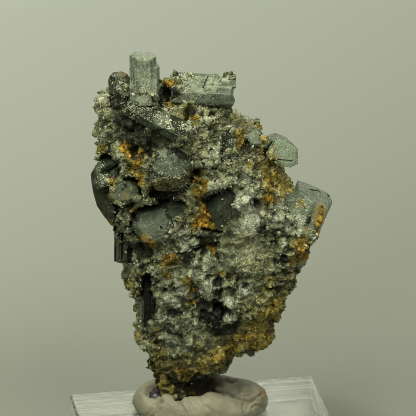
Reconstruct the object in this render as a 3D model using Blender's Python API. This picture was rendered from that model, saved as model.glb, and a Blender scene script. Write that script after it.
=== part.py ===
"""Aquamarine with fluorite and schorl on mica-rich matrix, set in a lump of
mineral putty on a square acrylic display block.

Frame: metres, +Z up, the front of the specimen faces -Y.  The origin is the
centre of the acrylic block's underside, on the surface it stands on.

The front is laid out on a sketch grid: (u, v) counts quarter-millimetre
squares, u to the right and v downwards, as seen looking down on the front by
SIGHT_TILT.  seen(u, v, depth) turns a place on that grid, and a depth along
the line of sight, into a point of the model.  All lengths inside the
functions are millimetres; MM turns them into metres when a mesh is made.
"""
import math
import random

import bmesh
import bpy
from mathutils import Matrix, Vector, noise
from mathutils.bvhtree import BVHTree

# ------------------------------------------------------------------ dimensions
MM = 0.001

BASE_SIDE = 63.5            # acrylic block, 2 1/2 inch square
BASE_THICK = 19.0           # 3/4 inch
BASE_TURN = math.radians(10.1)   # the block stands turned under the specimen
BASE_BEVEL = 0.5

SIGHT_TILT = math.radians(23.3)
SIGHT_DISTANCE = 1144.0
SIGHT_POINT = Vector((-1.25, 17.0, 74.7))   # where the grid's (208, 208) lies
GRID = 0.25                 # millimetres to a square
GRID_MID = 208.0

MID_Y = 17.0                # the specimen stands upright in this plane
GAP = 0.36                  # clearance left between neighbours
MATRIX_VOXEL = 1.45         # fineness of the rock's skin before it is thinned
MATRIX_KEEP = 0.24          # share of its facets that is kept
MATRIX_FOOT_Z = 21.2        # underside of the rock, inside the putty
SOCKET_SEED = 11
# how far the rock is cleared in front of a crystal that looks out of it (mm)
OPEN_FACES = {
    "aquamarine_left_edge": 6.5, "aquamarine_left_facet": 2.6, "aquamarine_mid_left": 2.4,
    "aquamarine_diagonal_prism": 2.4, "aquamarine_round_prism": 1.6, "aquamarine_center": 2.4,
    "aquamarine_shoulder": 2.4,
}

PUTTY_LOW_Z = BASE_THICK + GAP
PUTTY_VOXEL = 1.35
PUTTY_KEEP = 0.40

RIGHT = Vector((1.0, 0.0, 0.0))
UPWARD = Vector((0.0, math.sin(SIGHT_TILT), math.cos(SIGHT_TILT)))
AWAY = Vector((0.0, math.cos(SIGHT_TILT), -math.sin(SIGHT_TILT)))

# outline of the rock without its crystals, on the sketch grid
ROCK_OUTLINE = [
    (122, 78), (113, 86), (104, 90), (97, 97), (96, 108), (100, 114), (98, 126),
    (99, 141), (99, 158), (104, 170), (105, 192), (110, 212), (118, 232),
    (125, 262), (126, 280), (131, 292), (140, 302), (137, 320), (134, 332),
    (139, 342), (149, 352), (154, 362), (156, 376), (157, 393), (166, 402),
    (186, 402), (198, 390), (207, 376), (226, 364), (231, 354), (246, 351),
    (268, 350), (273, 340), (272, 330), (277, 319), (281, 306), (285, 296),
    (291, 288), (295, 279), (298, 270), (303, 260), (308, 249), (314, 240),
    (316, 222), (300, 204), (289, 188), (287, 176), (281, 166), (268, 151),
    (261, 131), (255, 121), (240, 115), (230, 108), (226, 86), (200, 78),
    (168, 77), (158, 80), (140, 78),
]

# half thickness of the rock, by height on the grid
ROCK_HALF_DEPTH = [(70, 11.5), (110, 14.5), (170, 16.0), (240, 15.5),
                   (300, 12.5), (350, 9.8), (402, 7.0)]


# ------------------------------------------------------------------- geometry
def seen(u, v, depth):
    """The point at grid place (u, v), depth beyond the plane of SIGHT_POINT."""
    k = 1.0 + depth / SIGHT_DISTANCE
    return (SIGHT_POINT + RIGHT * ((u - GRID_MID) * GRID * k)
            + UPWARD * ((GRID_MID - v) * GRID * k) + AWAY * depth)


def depth_for_y(u, v, y):
    """How deep along the line of sight the plane y is met at (u, v)."""
    rise = (GRID_MID - v) * GRID * UPWARD.y
    return (y - SIGHT_POINT.y - rise) / (AWAY.y + rise / SIGHT_DISTANCE)


def at_y(u, v, y):
    return seen(u, v, depth_for_y(u, v, y))


def between(table, x):
    """Straight-line reading of a table of (x, value) pairs."""
    if x <= table[0][0]:
        return table[0][1]
    for (x0, y0), (x1, y1) in zip(table, table[1:]):
        if x <= x1:
            return y0 + (y1 - y0) * (x - x0) / (x1 - x0)
    return table[-1][1]


def inside_and_distance(poly, u, v):
    """Signed distance, in squares, to a closed outline: positive inside."""
    inside = False
    best = 1e9
    n = len(poly)
    for i in range(n):
        (x0, y0), (x1, y1) = poly[i], poly[(i + 1) % n]
        if (y0 > v) != (y1 > v) and u < (x1 - x0) * (v - y0) / (y1 - y0) + x0:
            inside = not inside
        dx, dy = x1 - x0, y1 - y0
        t = max(0.0, min(1.0, ((u - x0) * dx + (v - y0) * dy) / (dx * dx + dy * dy)))
        best = min(best, math.hypot(u - x0 - t * dx, v - y0 - t * dy))
    return best if inside else -best


# -------------------------------------------------------------- scene helpers
def clear_scene():
    for ob in list(bpy.data.objects):
        bpy.data.objects.remove(ob, do_unlink=True)


def material(name, color, roughness, metallic=0.0, transmission=0.0, ior=1.5):
    mat = bpy.data.materials.new(name)
    mat.use_nodes = True
    bsdf = mat.node_tree.nodes["Principled BSDF"]
    bsdf.inputs["Base Color"].default_value = (*color, 1.0)
    bsdf.inputs["Roughness"].default_value = roughness
    bsdf.inputs["Metallic"].default_value = metallic
    bsdf.inputs["Transmission Weight"].default_value = transmission
    bsdf.inputs["IOR"].default_value = ior
    mat.diffuse_color = (*color, 1.0)
    return mat


def object_from_bmesh(name, bm, mat=None, cutter=False):
    """A new object whose origin is the middle of its mesh.  bm is in mm."""
    mid = Vector((0, 0, 0))
    for v in bm.verts:
        mid += v.co
    mid /= max(1, len(bm.verts))
    for v in bm.verts:
        v.co = (v.co - mid) * MM
    mesh = bpy.data.meshes.new(name)
    bm.to_mesh(mesh)
    bm.free()
    ob = bpy.data.objects.new(name, mesh)
    ob.location = mid * MM
    bpy.context.scene.collection.objects.link(ob)
    if mat is not None:
        mesh.materials.append(mat)
    if cutter:
        ob.hide_render = True
        ob.display_type = 'WIRE'
    return ob


def hull(points):
    """Convex body through the points, flat faces merged."""
    bm = bmesh.new()
    for p in points:
        bm.verts.new(p)
    out = bmesh.ops.convex_hull(bm, input=bm.verts, use_existing_faces=False)
    loose = [g for g in out["geom_interior"] + out["geom_unused"]
             if isinstance(g, bmesh.types.BMVert) and g.is_valid]
    if loose:
        bmesh.ops.delete(bm, geom=list(set(loose)), context='VERTS')
    lone = [v for v in bm.verts if not v.link_faces]
    if lone:
        bmesh.ops.delete(bm, geom=lone, context='VERTS')
    bmesh.ops.dissolve_limit(bm, angle_limit=math.radians(1.0),
                             verts=bm.verts, edges=bm.edges)
    bmesh.ops.recalc_face_normals(bm, faces=bm.faces)
    return bm


def grown(points, by):
    """Corner points of the same body grown by a small margin all round."""
    out = []
    for p in points:
        for sx in (-1, 1):
            for sy in (-1, 1):
                for sz in (-1, 1):
                    out.append(p + Vector((sx, sy, sz)) * by)
    return out


def boolean(target, cutter, operation='DIFFERENCE'):
    mod = target.modifiers.new("bool_" + cutter.name[:40], 'BOOLEAN')
    mod.operation = operation
    mod.solver = 'EXACT'
    mod.object = cutter
    return mod


def evaluated_bmesh(ob):
    """The object's shape after its modifiers, in world millimetres."""
    bpy.context.view_layer.update()
    deps = bpy.context.evaluated_depsgraph_get()
    ev = ob.evaluated_get(deps)
    mesh = ev.to_mesh()
    bm = bmesh.new()
    bm.from_mesh(mesh)
    ev.to_mesh_clear()
    bm.transform(ob.matrix_world)
    bmesh.ops.scale(bm, vec=Vector((1 / MM,) * 3), verts=bm.verts)
    return bm


def keep_largest(bm):
    """Drop crumbs that a cut has left loose."""
    left = set(bm.faces)
    groups = []
    while left:
        seed = left.pop()
        stack, group = [seed], [seed]
        while stack:
            face = stack.pop()
            for edge in face.edges:
                for other in edge.link_faces:
                    if other in left:
                        left.discard(other)
                        stack.append(other)
                        group.append(other)
        groups.append(group)
    groups.sort(key=len, reverse=True)
    crumbs = [f for g in groups[1:] for f in g]
    if crumbs:
        bmesh.ops.delete(bm, geom=crumbs, context='FACES')
    lone = [v for v in bm.verts if not v.link_faces]
    if lone:
        bmesh.ops.delete(bm, geom=lone, context='VERTS')
    return bm


def apply_shape(ob, mat):
    """Replace the object by its modified shape, crumbs removed."""
    bm = keep_largest(evaluated_bmesh(ob))
    name = ob.name
    bpy.data.objects.remove(ob, do_unlink=True)
    return object_from_bmesh(name, bm, mat)


# ------------------------------------------------------------------- the rock
def rock_body():
    """Rounded lumps of every size that touch the outline from inside, fused
    into one closed skin and roughened."""
    rng = random.Random(SOCKET_SEED)
    bm = bmesh.new()
    step = 9
    for row, v in enumerate(range(72, 402, step)):
        for u in range(94 + (row % 2) * 5, 322, step):
            reach = inside_and_distance(ROCK_OUTLINE, u, v) * GRID
            if reach < 1.15 or (reach > 6.0 and (row + u) % 2):
                continue
            reach = min(reach, 11.0)
            half = between(ROCK_HALF_DEPTH, v) * rng.uniform(0.88, 1.06)
            half = min(half, 2.3 * reach)
            tall = math.sqrt(max(0.2, reach ** 2 - (half * UPWARD.y) ** 2)) / UPWARD.z
            mid = at_y(u, v, MID_Y + rng.uniform(-1.0, 1.0))
            bmesh.ops.create_icosphere(
                bm, subdivisions=2, radius=1.0,
                matrix=Matrix.Translation(mid) @ Matrix.Diagonal((reach, half, tall, 1.0)))
    lumps = object_from_bmesh("rock_lumps", bm)
    remesh = lumps.modifiers.new("fuse", 'REMESH')
    remesh.mode = 'VOXEL'
    remesh.voxel_size = MATRIX_VOXEL * MM
    remesh.adaptivity = 0.0
    thin = lumps.modifiers.new("thin", 'DECIMATE')
    thin.ratio = MATRIX_KEEP
    bm = evaluated_bmesh(lumps)
    bpy.data.objects.remove(lumps, do_unlink=True)
    bm.normal_update()
    moves = []
    for v in bm.verts:
        rough = (noise.noise(v.co / 7.0) * 1.1
                 + noise.noise(v.co / 3.4 + Vector((9, 4, 2))) * 0.7
                 + rng.uniform(-0.12, 0.12))
        if v.co.z < 30.0:
            rough *= 0.4
        moves.append(v.normal * rough)
    for v, move in zip(bm.verts, moves):
        v.co += move
        v.co.z = max(v.co.z, MATRIX_FOOT_Z)
    keep_largest(bm)
    return bm


class Surface:
    """Finds where the rock's skin is met at a grid place."""

    def __init__(self, bm):
        self.tree = BVHTree.FromBMesh(bm)

    def front(self, u, v):
        start = seen(u, v, -80.0)
        sight = (seen(u, v, 0.0) - start).normalized()
        hit = self.tree.ray_cast(start, sight)
        if hit[0] is None:
            return None
        return (hit[0] - SIGHT_POINT).dot(AWAY)

    def back(self, x, z):
        hit = self.tree.ray_cast(Vector((x, 90.0, z)), Vector((0, -1, 0)))
        return hit[0]


# --------------------------------------------------------------- crystal forms
def bar(a, b, profile, end_a=None, end_b=None):
    """Prism from a to b, each (u, v, depth).  profile lists the corners of its
    section as (s, t): s squares to the left of the way from a to b, t mm
    deeper.  end_a and end_b push each corner of an end along the prism (mm)."""
    pa, pb = seen(*a), seen(*b)
    along = (pb - pa).normalized()
    du, dv = b[0] - a[0], b[1] - a[1]
    length = math.hypot(du, dv)
    su, sv = dv / length, -du / length
    points = []
    for centre, push in ((a, end_a), (b, end_b)):
        for i, (s, t) in enumerate(profile):
            p = seen(centre[0] + su * s, centre[1] + sv * s, centre[2] + t)
            if push:
                p = p + along * push[i]
            points.append(p)
    return points


def plate(face, depth, run, lean=(0.0, 0.0), taper=0.0, crown=0.0):
    """Crystal seen on its end: face lists the end's corners on the grid, depth
    is that of its middle, lean how much deeper it gets per millimetre to the
    right and upwards, and run the way the sides go back.  taper pulls the far
    corners in or out; crown adds a slightly smaller, nearer face."""
    cu = sum(p[0] for p in face) / len(face)
    cv = sum(p[1] for p in face) / len(face)
    run = Vector(run)
    points = []

    def corner(u, v, extra=0.0):
        d = depth + lean[0] * (u - cu) * GRID + lean[1] * (cv - v) * GRID + extra
        return seen(u, v, d)

    for u, v in face:
        near = corner(u, v)
        points.append(near)
        far = corner(cu + (u - cu) * (1 + taper), cv + (v - cv) * (1 + taper)) + run
        points.append(far)
        if crown:
            points.append(corner(cu + (u - cu) * 0.78, cv + (v - cv) * 0.78) - run.normalized() * crown)
    return points


def upright(u, v, y, height, half_wide, half_thick, turn=0.0, lean=(0.0, 0.0, 1.0),
            sides=6, bevel=0.0, slope=(0.0, 0.0)):
    """Standing prism whose foot is at grid (u, v) in the plane y."""
    foot = at_y(u, v, y)
    axis = Vector(lean).normalized()
    across = RIGHT - axis * RIGHT.dot(axis)
    across.normalize()
    inward = axis.cross(across).normalized()
    points = []
    rings = [(0.0, 1.0), (height - bevel, 1.0)]
    if bevel:
        rings.append((height, 1.0 - bevel * 0.55 / half_wide))
    for h, k in rings:
        for i in range(sides):
            ang = turn + 2 * math.pi * i / sides
            x, y_ = half_wide * k * math.cos(ang), half_thick * k * math.sin(ang)
            rise = h + (slope[0] * x + slope[1] * y_ if h > 0 else 0.0)
            points.append(foot + axis * rise + across * x + inward * y_)
    return points


def needle(a, b, thick, deep=None, sides=6):
    """Thin schorl needle between two (u, v, depth) places."""
    deep = thick if deep is None else deep
    ring = []
    for i in range(sides):
        ang = 2 * math.pi * (i + 0.25) / sides
        ring.append((thick / GRID / 2 * math.cos(ang), deep / 2 * math.sin(ang)))
    return bar(a, b, ring)


# -------------------------------------------------------------------- the part
def build():
    clear_scene()

    rock_mat = material("mica_rock", (0.40, 0.39, 0.27), 0.72)
    aqua_mat = material("aquamarine", (0.42, 0.53, 0.50), 0.12, transmission=0.6, ior=1.575)
    dull_mat = material("aquamarine_etched", (0.33, 0.38, 0.36), 0.35, transmission=0.25, ior=1.575)
    schorl_mat = material("schorl", (0.012, 0.013, 0.015), 0.22, ior=1.64)
    violet_mat = material("fluorite", (0.26, 0.13, 0.36), 0.15, transmission=0.5, ior=1.434)
    putty_mat = material("putty", (0.56, 0.52, 0.40), 0.62)
    clear_mat = material("acrylic", (0.93, 0.95, 0.92), 0.03, transmission=1.0, ior=1.491)

    # --- acrylic display block
    bm = bmesh.new()
    bmesh.ops.create_cube(bm, size=1.0, matrix=Matrix.Diagonal((BASE_SIDE, BASE_SIDE, BASE_THICK, 1.0)))
    bmesh.ops.bevel(bm, geom=bm.edges[:], offset=BASE_BEVEL, segments=1,
                    affect='EDGES', profile=0.5)
    bmesh.ops.transform(bm, verts=bm.verts,
                        matrix=Matrix.Translation((0, 0, BASE_THICK / 2)) @ Matrix.Rotation(BASE_TURN, 4, 'Z'))
    object_from_bmesh("acrylic_base", bm, clear_mat)

    # --- rock body, still without sockets
    rock_bm = rock_body()
    skin = Surface(rock_bm)
    rock = object_from_bmesh("matrix", rock_bm, rock_mat)

    def on(u, v, offset=0.0):
        """Depth of the rock's skin at a grid place, plus an offset."""
        d = skin.front(u, v)
        return (d if d is not None else depth_for_y(u, v, MID_Y)) + offset

    # --- crystals: name -> (list of bodies, material); bodies are point lists
    crystals = {}

    # upper left
    crystals["aquamarine_tall_prism"] = ([
        upright(143.3, 103, 8.5, 12.5, 3.42, 2.9, turn=math.radians(4), slope=(-0.05, 0.05)),
        upright(154.2, 103, 8.9, 10.0, 1.45, 2.3, turn=math.radians(0), slope=(-0.1, 0.0)),
    ], aqua_mat)
    crystals["aquamarine_corner"] = ([
        upright(120.2, 105.4, 12.1, 8.2, 2.75, 2.9, turn=math.radians(12),
                lean=(-0.04, 0.0, 1.0), bevel=1.1),
    ], dull_mat)
    d = depth_for_y(200, 90, 13.5)
    crystals["aquamarine_top_prism"] = ([
        bar((171, 88.5, d + 0.8), (232.5, 91, d - 0.4),
            [(17.0, 3.6), (-3.0, -4.9), (-14.0, -4.1), (-20.0, -0.5), (-14.0, 4.4), (6.0, 6.2)],
            end_b=[0.3, -0.3, 0.2, -0.2, -0.8, 0.4]),
        bar((215, 84, d + 0.9), (236, 84.5, d + 0.4),
            [(11.0, 1.8), (-2.0, -3.4), (-4.0, -2.2), (-3.0, 2.0)]),
        bar((215, 101, d - 0.8), (234.4, 101.5, d - 0.8),
            [(4.0, -2.8), (-4.0, -2.6), (-3.0, 1.8), (5.0, 2.0)]),
    ], aqua_mat)
    d = on(150, 128)
    crystals["aquamarine_diagonal_prism"] = ([
        bar((128.0, 105.0, d + 1.4), (187.0, 136.5, d - 2.2),
            [(13.0, 2.6), (-3.5, -2.7), (-10.5, -1.4), (-13.5, 2.4), (-6.0, 5.4), (7.0, 6.0)],
            end_b=[0.5, 0.2, -1.2, -1.9, -0.6, 0.6]),
    ], dull_mat)
    d = on(170, 170)
    crystals["aquamarine_round_prism"] = ([
        plate([(151, 161), (157, 150), (164, 146), (177, 147), (186, 152), (193, 166),
               (189, 175), (182, 179), (157, 178), (147, 169)],
              d - 4.6, (0.0, 7.2, -6.6), lean=(0.02, 0.60), crown=0.7),
    ], dull_mat)

    # left edge
    y = 12.5
    crystals["aquamarine_left_edge"] = ([
        plate([(90.3, 174), (95, 166.5), (98.7, 161.5), (108, 160.5), (117, 163.5), (118.3, 174),
               (115, 182), (108, 188), (98, 190), (91.5, 185)],
              depth_for_y(104, 175, y) - 4.4, (1.2, 8.5, -1.0), lean=(-0.42, 0.22), crown=0.8),
        plate([(92.2, 180), (91.6, 187), (93.7, 198), (97, 207), (103, 216), (111, 226.5), (114.5, 222),
               (114.5, 209), (107.5, 196), (103.5, 182)],
              depth_for_y(103, 202, y) - 3.8, (1.6, 8.6, -0.6), lean=(-0.45, -0.06), taper=-0.1),
    ], dull_mat)
    d = on(126, 192)
    crystals["aquamarine_left_facet"] = ([
        plate([(106.5, 196.5), (112, 187), (120, 180), (131, 178.5), (138.5, 186), (138, 198),
               (129, 203.5), (114, 204)],
              d - 1.6, (0.8, 5.2, -1.6), lean=(-0.12, 0.24), crown=0.5),
    ], aqua_mat)
    d = on(155, 222)
    crystals["aquamarine_mid_left"] = ([
        plate([(136, 210), (150, 206), (167, 204), (173, 214), (171, 232), (163, 245),
               (145, 243), (133, 228)],
              d - 1.0, (-1.0, 5.6, -2.2), lean=(-0.12, 0.30), crown=0.5),
        plate([(166.5, 203.5), (172, 200), (184, 201), (188, 207), (186, 215), (179, 219), (170, 217)],
              d - 1.6, (-4.6, 4.4, -1.4), lean=(-0.10, 0.45)),
    ], aqua_mat)
    d = depth_for_y(124, 243, 11.5)
    crystals["aquamarine_lower_left"] = ([
        bar((124.0, 224, d), (123.4, 262, d - 0.4),
            [(-9.9, 1.0), (-5.0, -2.1), (3.4, -2.8), (9.6, -0.8), (8.0, 3.4), (-4.5, 3.8)],
            end_b=[-0.1, 0.3, -0.2, -0.5, 0.2, 0.1]),
    ], aqua_mat)

    # middle
    d = on(222, 208)
    crystals["aquamarine_center"] = ([
        [seen(236, 195, d - 1.2), seen(231.5, 216, d - 1.7), seen(223, 228.5, d - 1.8),
         seen(214, 225, d - 2.6), seen(217.5, 212, d - 3.0), seen(227, 199, d - 2.6),
         seen(206, 206, d + 0.3), seen(211, 194, d + 0.8), seen(229, 187, d + 0.3),
         seen(233, 204, d + 4.5), seen(222, 224, d + 4.3), seen(208, 216, d + 4.6),
         seen(212, 200, d + 5.0)],
    ], aqua_mat)
    d = on(229, 148)
    crystals["aquamarine_slab"] = ([
        bar((229.4, 127, d + 0.2), (228.3, 168, d + 0.1),
            [(-8.0, 0.2), (-4.0, -1.3), (7.6, -1.6), (8.2, 2.2), (0.0, 3.6), (-6.0, 2.8)],
            end_b=[0.4, 0.2, -0.6, -0.6, 0.0, 0.3]),
    ], dull_mat)
    d = on(247, 180)
    crystals["aquamarine_crescent"] = ([
        plate([(238, 176), (241.5, 171.5), (248, 172), (252.5, 177), (254, 186), (249.5, 190),
               (242, 188), (238, 182)],
              d - 1.2, (0.0, 5.0, -2.2), lean=(0.1, 0.35)),
    ], dull_mat)

    # right shoulder and right side
    d = depth_for_y(256, 137, 9.0)
    crystals["aquamarine_shoulder"] = ([
        plate([(250, 129), (259, 128), (265, 137), (264, 145), (252, 146), (246, 137)],
              d - 1.0, (-0.6, 7.4, -2.2), lean=(0.25, 0.2), crown=0.5),
    ], aqua_mat)
    d = depth_for_y(283, 153, 11.5)
    crystals["aquamarine_right_hex"] = ([
        plate([(267.5, 149), (273, 140.5), (280, 138), (286, 140.6), (291.5, 142), (298, 149),
               (298.6, 164), (291, 168), (283, 167), (270.5, 158)],
              d - 2.2, (-1.3, 6.6, -1.2), lean=(0.06, 0.12), crown=0.25),
    ], aqua_mat)
    d = depth_for_y(306, 205, 13.0)
    head = [(297.5, 179.5, 3.2), (312, 184.5, 3.6), (328, 192.5, 3.0), (333.3, 201.5, 0.6),
            (328.5, 209, -2.6), (313, 202, -3.9), (299, 190, -2.2)]
    tail = [(u - 16.0, v + 37.0, t + 0.5) for u, v, t in head]
    side = [(272, 194, 0.8), (279, 188, 2.2), (293, 187.5, 2.4), (300, 192, 0.8),
            (298, 199, -2.6), (283, 201, -3.0)]
    crystals["aquamarine_right_prism"] = ([
        [seen(u, v, d + t) for u, v, t in head + tail],
        [seen(u, v, d + t) for u, v, t in side]
        + [seen(u - 5.0, v + 30.0, d + t + 0.4) for u, v, t in side],
    ], aqua_mat)
    d = depth_for_y(302, 259, 12.5)
    crystals["aquamarine_right_edge"] = ([
        plate([(302, 251), (309.5, 251), (308.5, 258), (301, 269), (295.5, 267), (296.5, 257)],
              d - 1.5, (-0.8, 5.5, -1.0), lean=(0.3, 0.0)),
    ], aqua_mat)
    d = depth_for_y(288, 287, 13.0)
    crystals["aquamarine_right_lower"] = ([
        plate([(280.5, 289), (285, 281.5), (294, 279.5), (296.3, 286), (290.5, 294.8), (283, 294)],
              d - 1.5, (-1.2, 5.0, -0.6), lean=(0.25, 0.1), crown=0.4),
    ], aqua_mat)
    d = depth_for_y(249, 350, 14.5)
    crystals["aquamarine_underside"] = ([
        plate([(243.5, 347.5), (248, 343), (254, 346), (255, 355.5), (250.5, 357.3), (245, 353.5)],
              d, (0.2, 3.6, 1.0), lean=(0.1, -0.2)),
    ], aqua_mat)
    d = depth_for_y(218, 367, 13.0)
    crystals["aquamarine_foot"] = ([
        plate([(207, 369), (214, 361), (226, 357), (230, 360), (229.5, 367), (226, 373.5), (214, 376)],
              d, (0.2, 4.6, 1.2), lean=(0.15, -0.15)),
    ], aqua_mat)
    d = depth_for_y(153, 366, 14.0)
    crystals["aquamarine_foot_left"] = ([
        plate([(147.3, 363.5), (153, 357), (159, 359.5), (162, 370), (156, 375), (150.5, 370)],
              d - 1.0, (1.0, 4.2, 0.4), lean=(-0.25, 0.1)),
    ], dull_mat)

    # schorl
    d = on(152, 138, -2.2)
    crystals["schorl_stub"] = ([
        needle((146.5, 140.5, d - 0.6), (157.5, 132.2, d - 3.6), 0.95),
    ], schorl_mat)
    d = depth_for_y(110, 168, 12.5)
    crystals["schorl_left_needle"] = ([
        needle((102.8, 172.8, d - 4.2), (116.6, 163.6, d - 4.7), 0.62),
    ], schorl_mat)
    d = on(264, 233)
    crystals["schorl_blob"] = ([
        plate([(259.5, 231), (263.5, 228), (268, 230), (268.3, 234), (263.5, 237), (260, 236)],
              d - 0.9, (0.3, 3.2, -0.9), crown=0.4),
    ], schorl_mat)
    d = on(271, 240)
    crystals["schorl_block"] = ([
        plate([(263, 240.5), (270, 236.5), (277, 238), (277.5, 242.5), (268, 243.6)],
              d - 0.5, (0.2, 2.8, -0.6)),
    ], schorl_mat)
    d = on(148, 300)
    crystals["schorl_long_prism"] = ([
        bar((147.3, 273, d + 0.5), (146.4, 326, d + 0.3),
            [(-5.2, 0.4), (-2.5, -1.3), (3.0, -1.4), (5.0, 0.2), (3.0, 2.2), (-3.5, 2.3)],
            end_b=[0.0, 0.3, -0.2, -0.5, 0.0, 0.2]),
        bar((152.5, 297, d + 0.3), (152.5, 310, d + 0.3),
            [(-3.0, 0.2), (0.0, -1.0), (3.6, 0.2), (0.0, 1.8)]),
    ], schorl_mat)
    d = on(212, 231)
    crystals["schorl_center_needle"] = ([
        needle((202.5, 229.5, d - 0.2), (224.0, 232.6, d - 0.4), 0.62),
    ], schorl_mat)
    d = on(190, 306)
    crystals["schorl_low_needle"] = ([
        needle((185, 309.5, d - 0.5), (196.5, 303.0, d + 0.1), 0.55),
    ], schorl_mat)
    for label, face in (
            ("schorl_patch_a", [(227, 285), (231, 278), (236.5, 280), (237, 286), (232, 291), (228, 290)]),
            ("schorl_patch_b", [(241.5, 287), (246, 281.5), (250.5, 280.5), (249, 284.5), (244, 287.8)]),
            ("schorl_patch_c", [(212, 312), (218, 306.5), (223, 309), (220, 320), (214, 325)]),
            ("schorl_patch_d", [(273, 262), (280, 256), (288, 258), (290, 266), (280, 270)])):
        mu = sum(p[0] for p in face) / len(face)
        mv = sum(p[1] for p in face) / len(face)
        crystals[label] = ([plate(face, on(mu, mv, -0.3), (0.2, 2.9, -0.9))], schorl_mat)
    d = depth_for_y(270, 144, 10.0)
    crystals["schorl_top_needle"] = ([
        needle((265.6, 150.2, d - 0.6), (272.8, 140.8, d - 1.4), 0.6),
    ], schorl_mat)

    # fluorite at the foot
    d = depth_for_y(154, 397, 12.4)
    crystals["fluorite_foot"] = ([
        plate([(149.5, 397.5), (152.5, 394.3), (157, 394.0), (160.5, 398), (158, 404), (151, 403)],
              d - 0.4, (0.5, 3.4, 0.6), lean=(-0.2, 0.2)),
    ], violet_mat)

    # the hidden back
    def back_prism(x, z, direction, length, half_wide, half_thick, sink, bevel=0.0, turn=0.2):
        foot = skin.back(x, z)
        axis = Vector(direction).normalized()
        foot = foot - axis * sink
        across = axis.cross(Vector((0, 0, 1))).normalized()
        up = across.cross(axis).normalized()
        points = []
        rings = [(0.0, 1.0), (length - bevel, 1.0)]
        if bevel:
            rings.append((length, 1.0 - bevel * 0.6 / half_wide))
        for h, k in rings:
            for i in range(6):
                ang = turn + math.pi * i / 3
                points.append(foot + axis * h + across * (half_wide * k * math.cos(ang))
                              + up * (half_thick * k * math.sin(ang)))
        return points

    crystals["aquamarine_back_large"] = ([
        back_prism(-3.0, 90.0, (0.45, 0.16, 0.88), 10.2, 3.1, 2.7, 5.4, bevel=0.7)], aqua_mat)
    crystals["aquamarine_back_small"] = ([
        back_prism(12.0, 74.0, (0.6, 0.62, 0.3), 6.6, 2.1, 1.9, 3.9, bevel=0.5, turn=0.5)], aqua_mat)
    crystals["schorl_back"] = ([
        back_prism(-12.0, 66.0, (-0.55, 0.45, 0.6), 7.5, 1.0, 0.9, 3.2)], schorl_mat)
    crystals["fluorite_back"] = ([
        back_prism(4.0, 55.0, (0.1, 0.9, 0.15), 4.4, 2.7, 2.5, 2.7, bevel=1.2, turn=0.1)], violet_mat)

    # --- solids and sockets
    sockets = {}
    openings = {}
    for name, (bodies, mat) in crystals.items():
        solid = object_from_bmesh(name, hull(bodies[0]), mat)
        for i, body in enumerate(bodies[1:]):
            extra = object_from_bmesh("%s_join%d" % (name, i), hull(body), cutter=True)
            boolean(solid, extra, 'UNION')
        if len(bodies) > 1:
            solid = apply_shape(solid, mat)
        sockets[name] = [
            object_from_bmesh("%s_socket%d" % (name, i), hull(grown(body, GAP)), cutter=True)
            for i, body in enumerate(bodies)]
        # a face that looks out of the rock has nothing left in front of it
        if name in OPEN_FACES:
            reach = AWAY * OPEN_FACES[name]
            openings[name] = [
                object_from_bmesh("%s_opening%d" % (name, i),
                                  hull(grown(body, GAP) + [p - reach for p in grown(body, GAP)]),
                                  cutter=True)
                for i, body in enumerate(bodies)]

    # a needle that lies across or in a prism has its own groove there
    for host, guest in (("aquamarine_diagonal_prism", "schorl_stub"),
                        ("aquamarine_left_edge", "schorl_left_needle"),
                        ("aquamarine_right_hex", "schorl_top_needle"),
                        ("aquamarine_left_edge", "aquamarine_left_facet"),
                        ("aquamarine_center", "schorl_center_needle"),
                        ("schorl_block", "schorl_blob"),
                        ("aquamarine_corner", "aquamarine_tall_prism"),
                        ("aquamarine_diagonal_prism", "aquamarine_corner"),
                        ("aquamarine_diagonal_prism", "aquamarine_tall_prism"),
                        ("aquamarine_top_prism", "aquamarine_tall_prism"),
                        ("aquamarine_round_prism", "aquamarine_diagonal_prism")):
        for cutter in sockets[guest]:
            boolean(bpy.data.objects[host], cutter)
    for host in ("aquamarine_diagonal_prism", "aquamarine_left_edge", "aquamarine_right_hex",
                 "aquamarine_center", "schorl_block", "aquamarine_corner",
                 "aquamarine_top_prism", "aquamarine_round_prism"):
        ob = bpy.data.objects[host]
        apply_shape(ob, crystals[host][1])

    for name, cutters in sockets.items():
        for cutter in openings.get(name, cutters):
            boolean(rock, cutter)
    rock = apply_shape(rock, rock_mat)

    # --- putty: a pressed ring of lumps with the rock's foot inside it
    rng = random.Random(SOCKET_SEED + 1)
    bm = bmesh.new()
    mid_x, mid_y = -3.3, 17.4
    half_x, half_y = 13.1, 7.9
    count = 26

    def lump(x, y, rx, ry, top, low=0.34):
        bmesh.ops.create_icosphere(
            bm, subdivisions=2, radius=1.0,
            matrix=Matrix.Translation((x, y, BASE_THICK + top * low))
            @ Matrix.Diagonal((rx, ry, top * (1.0 - low), 1.0)))

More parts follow.
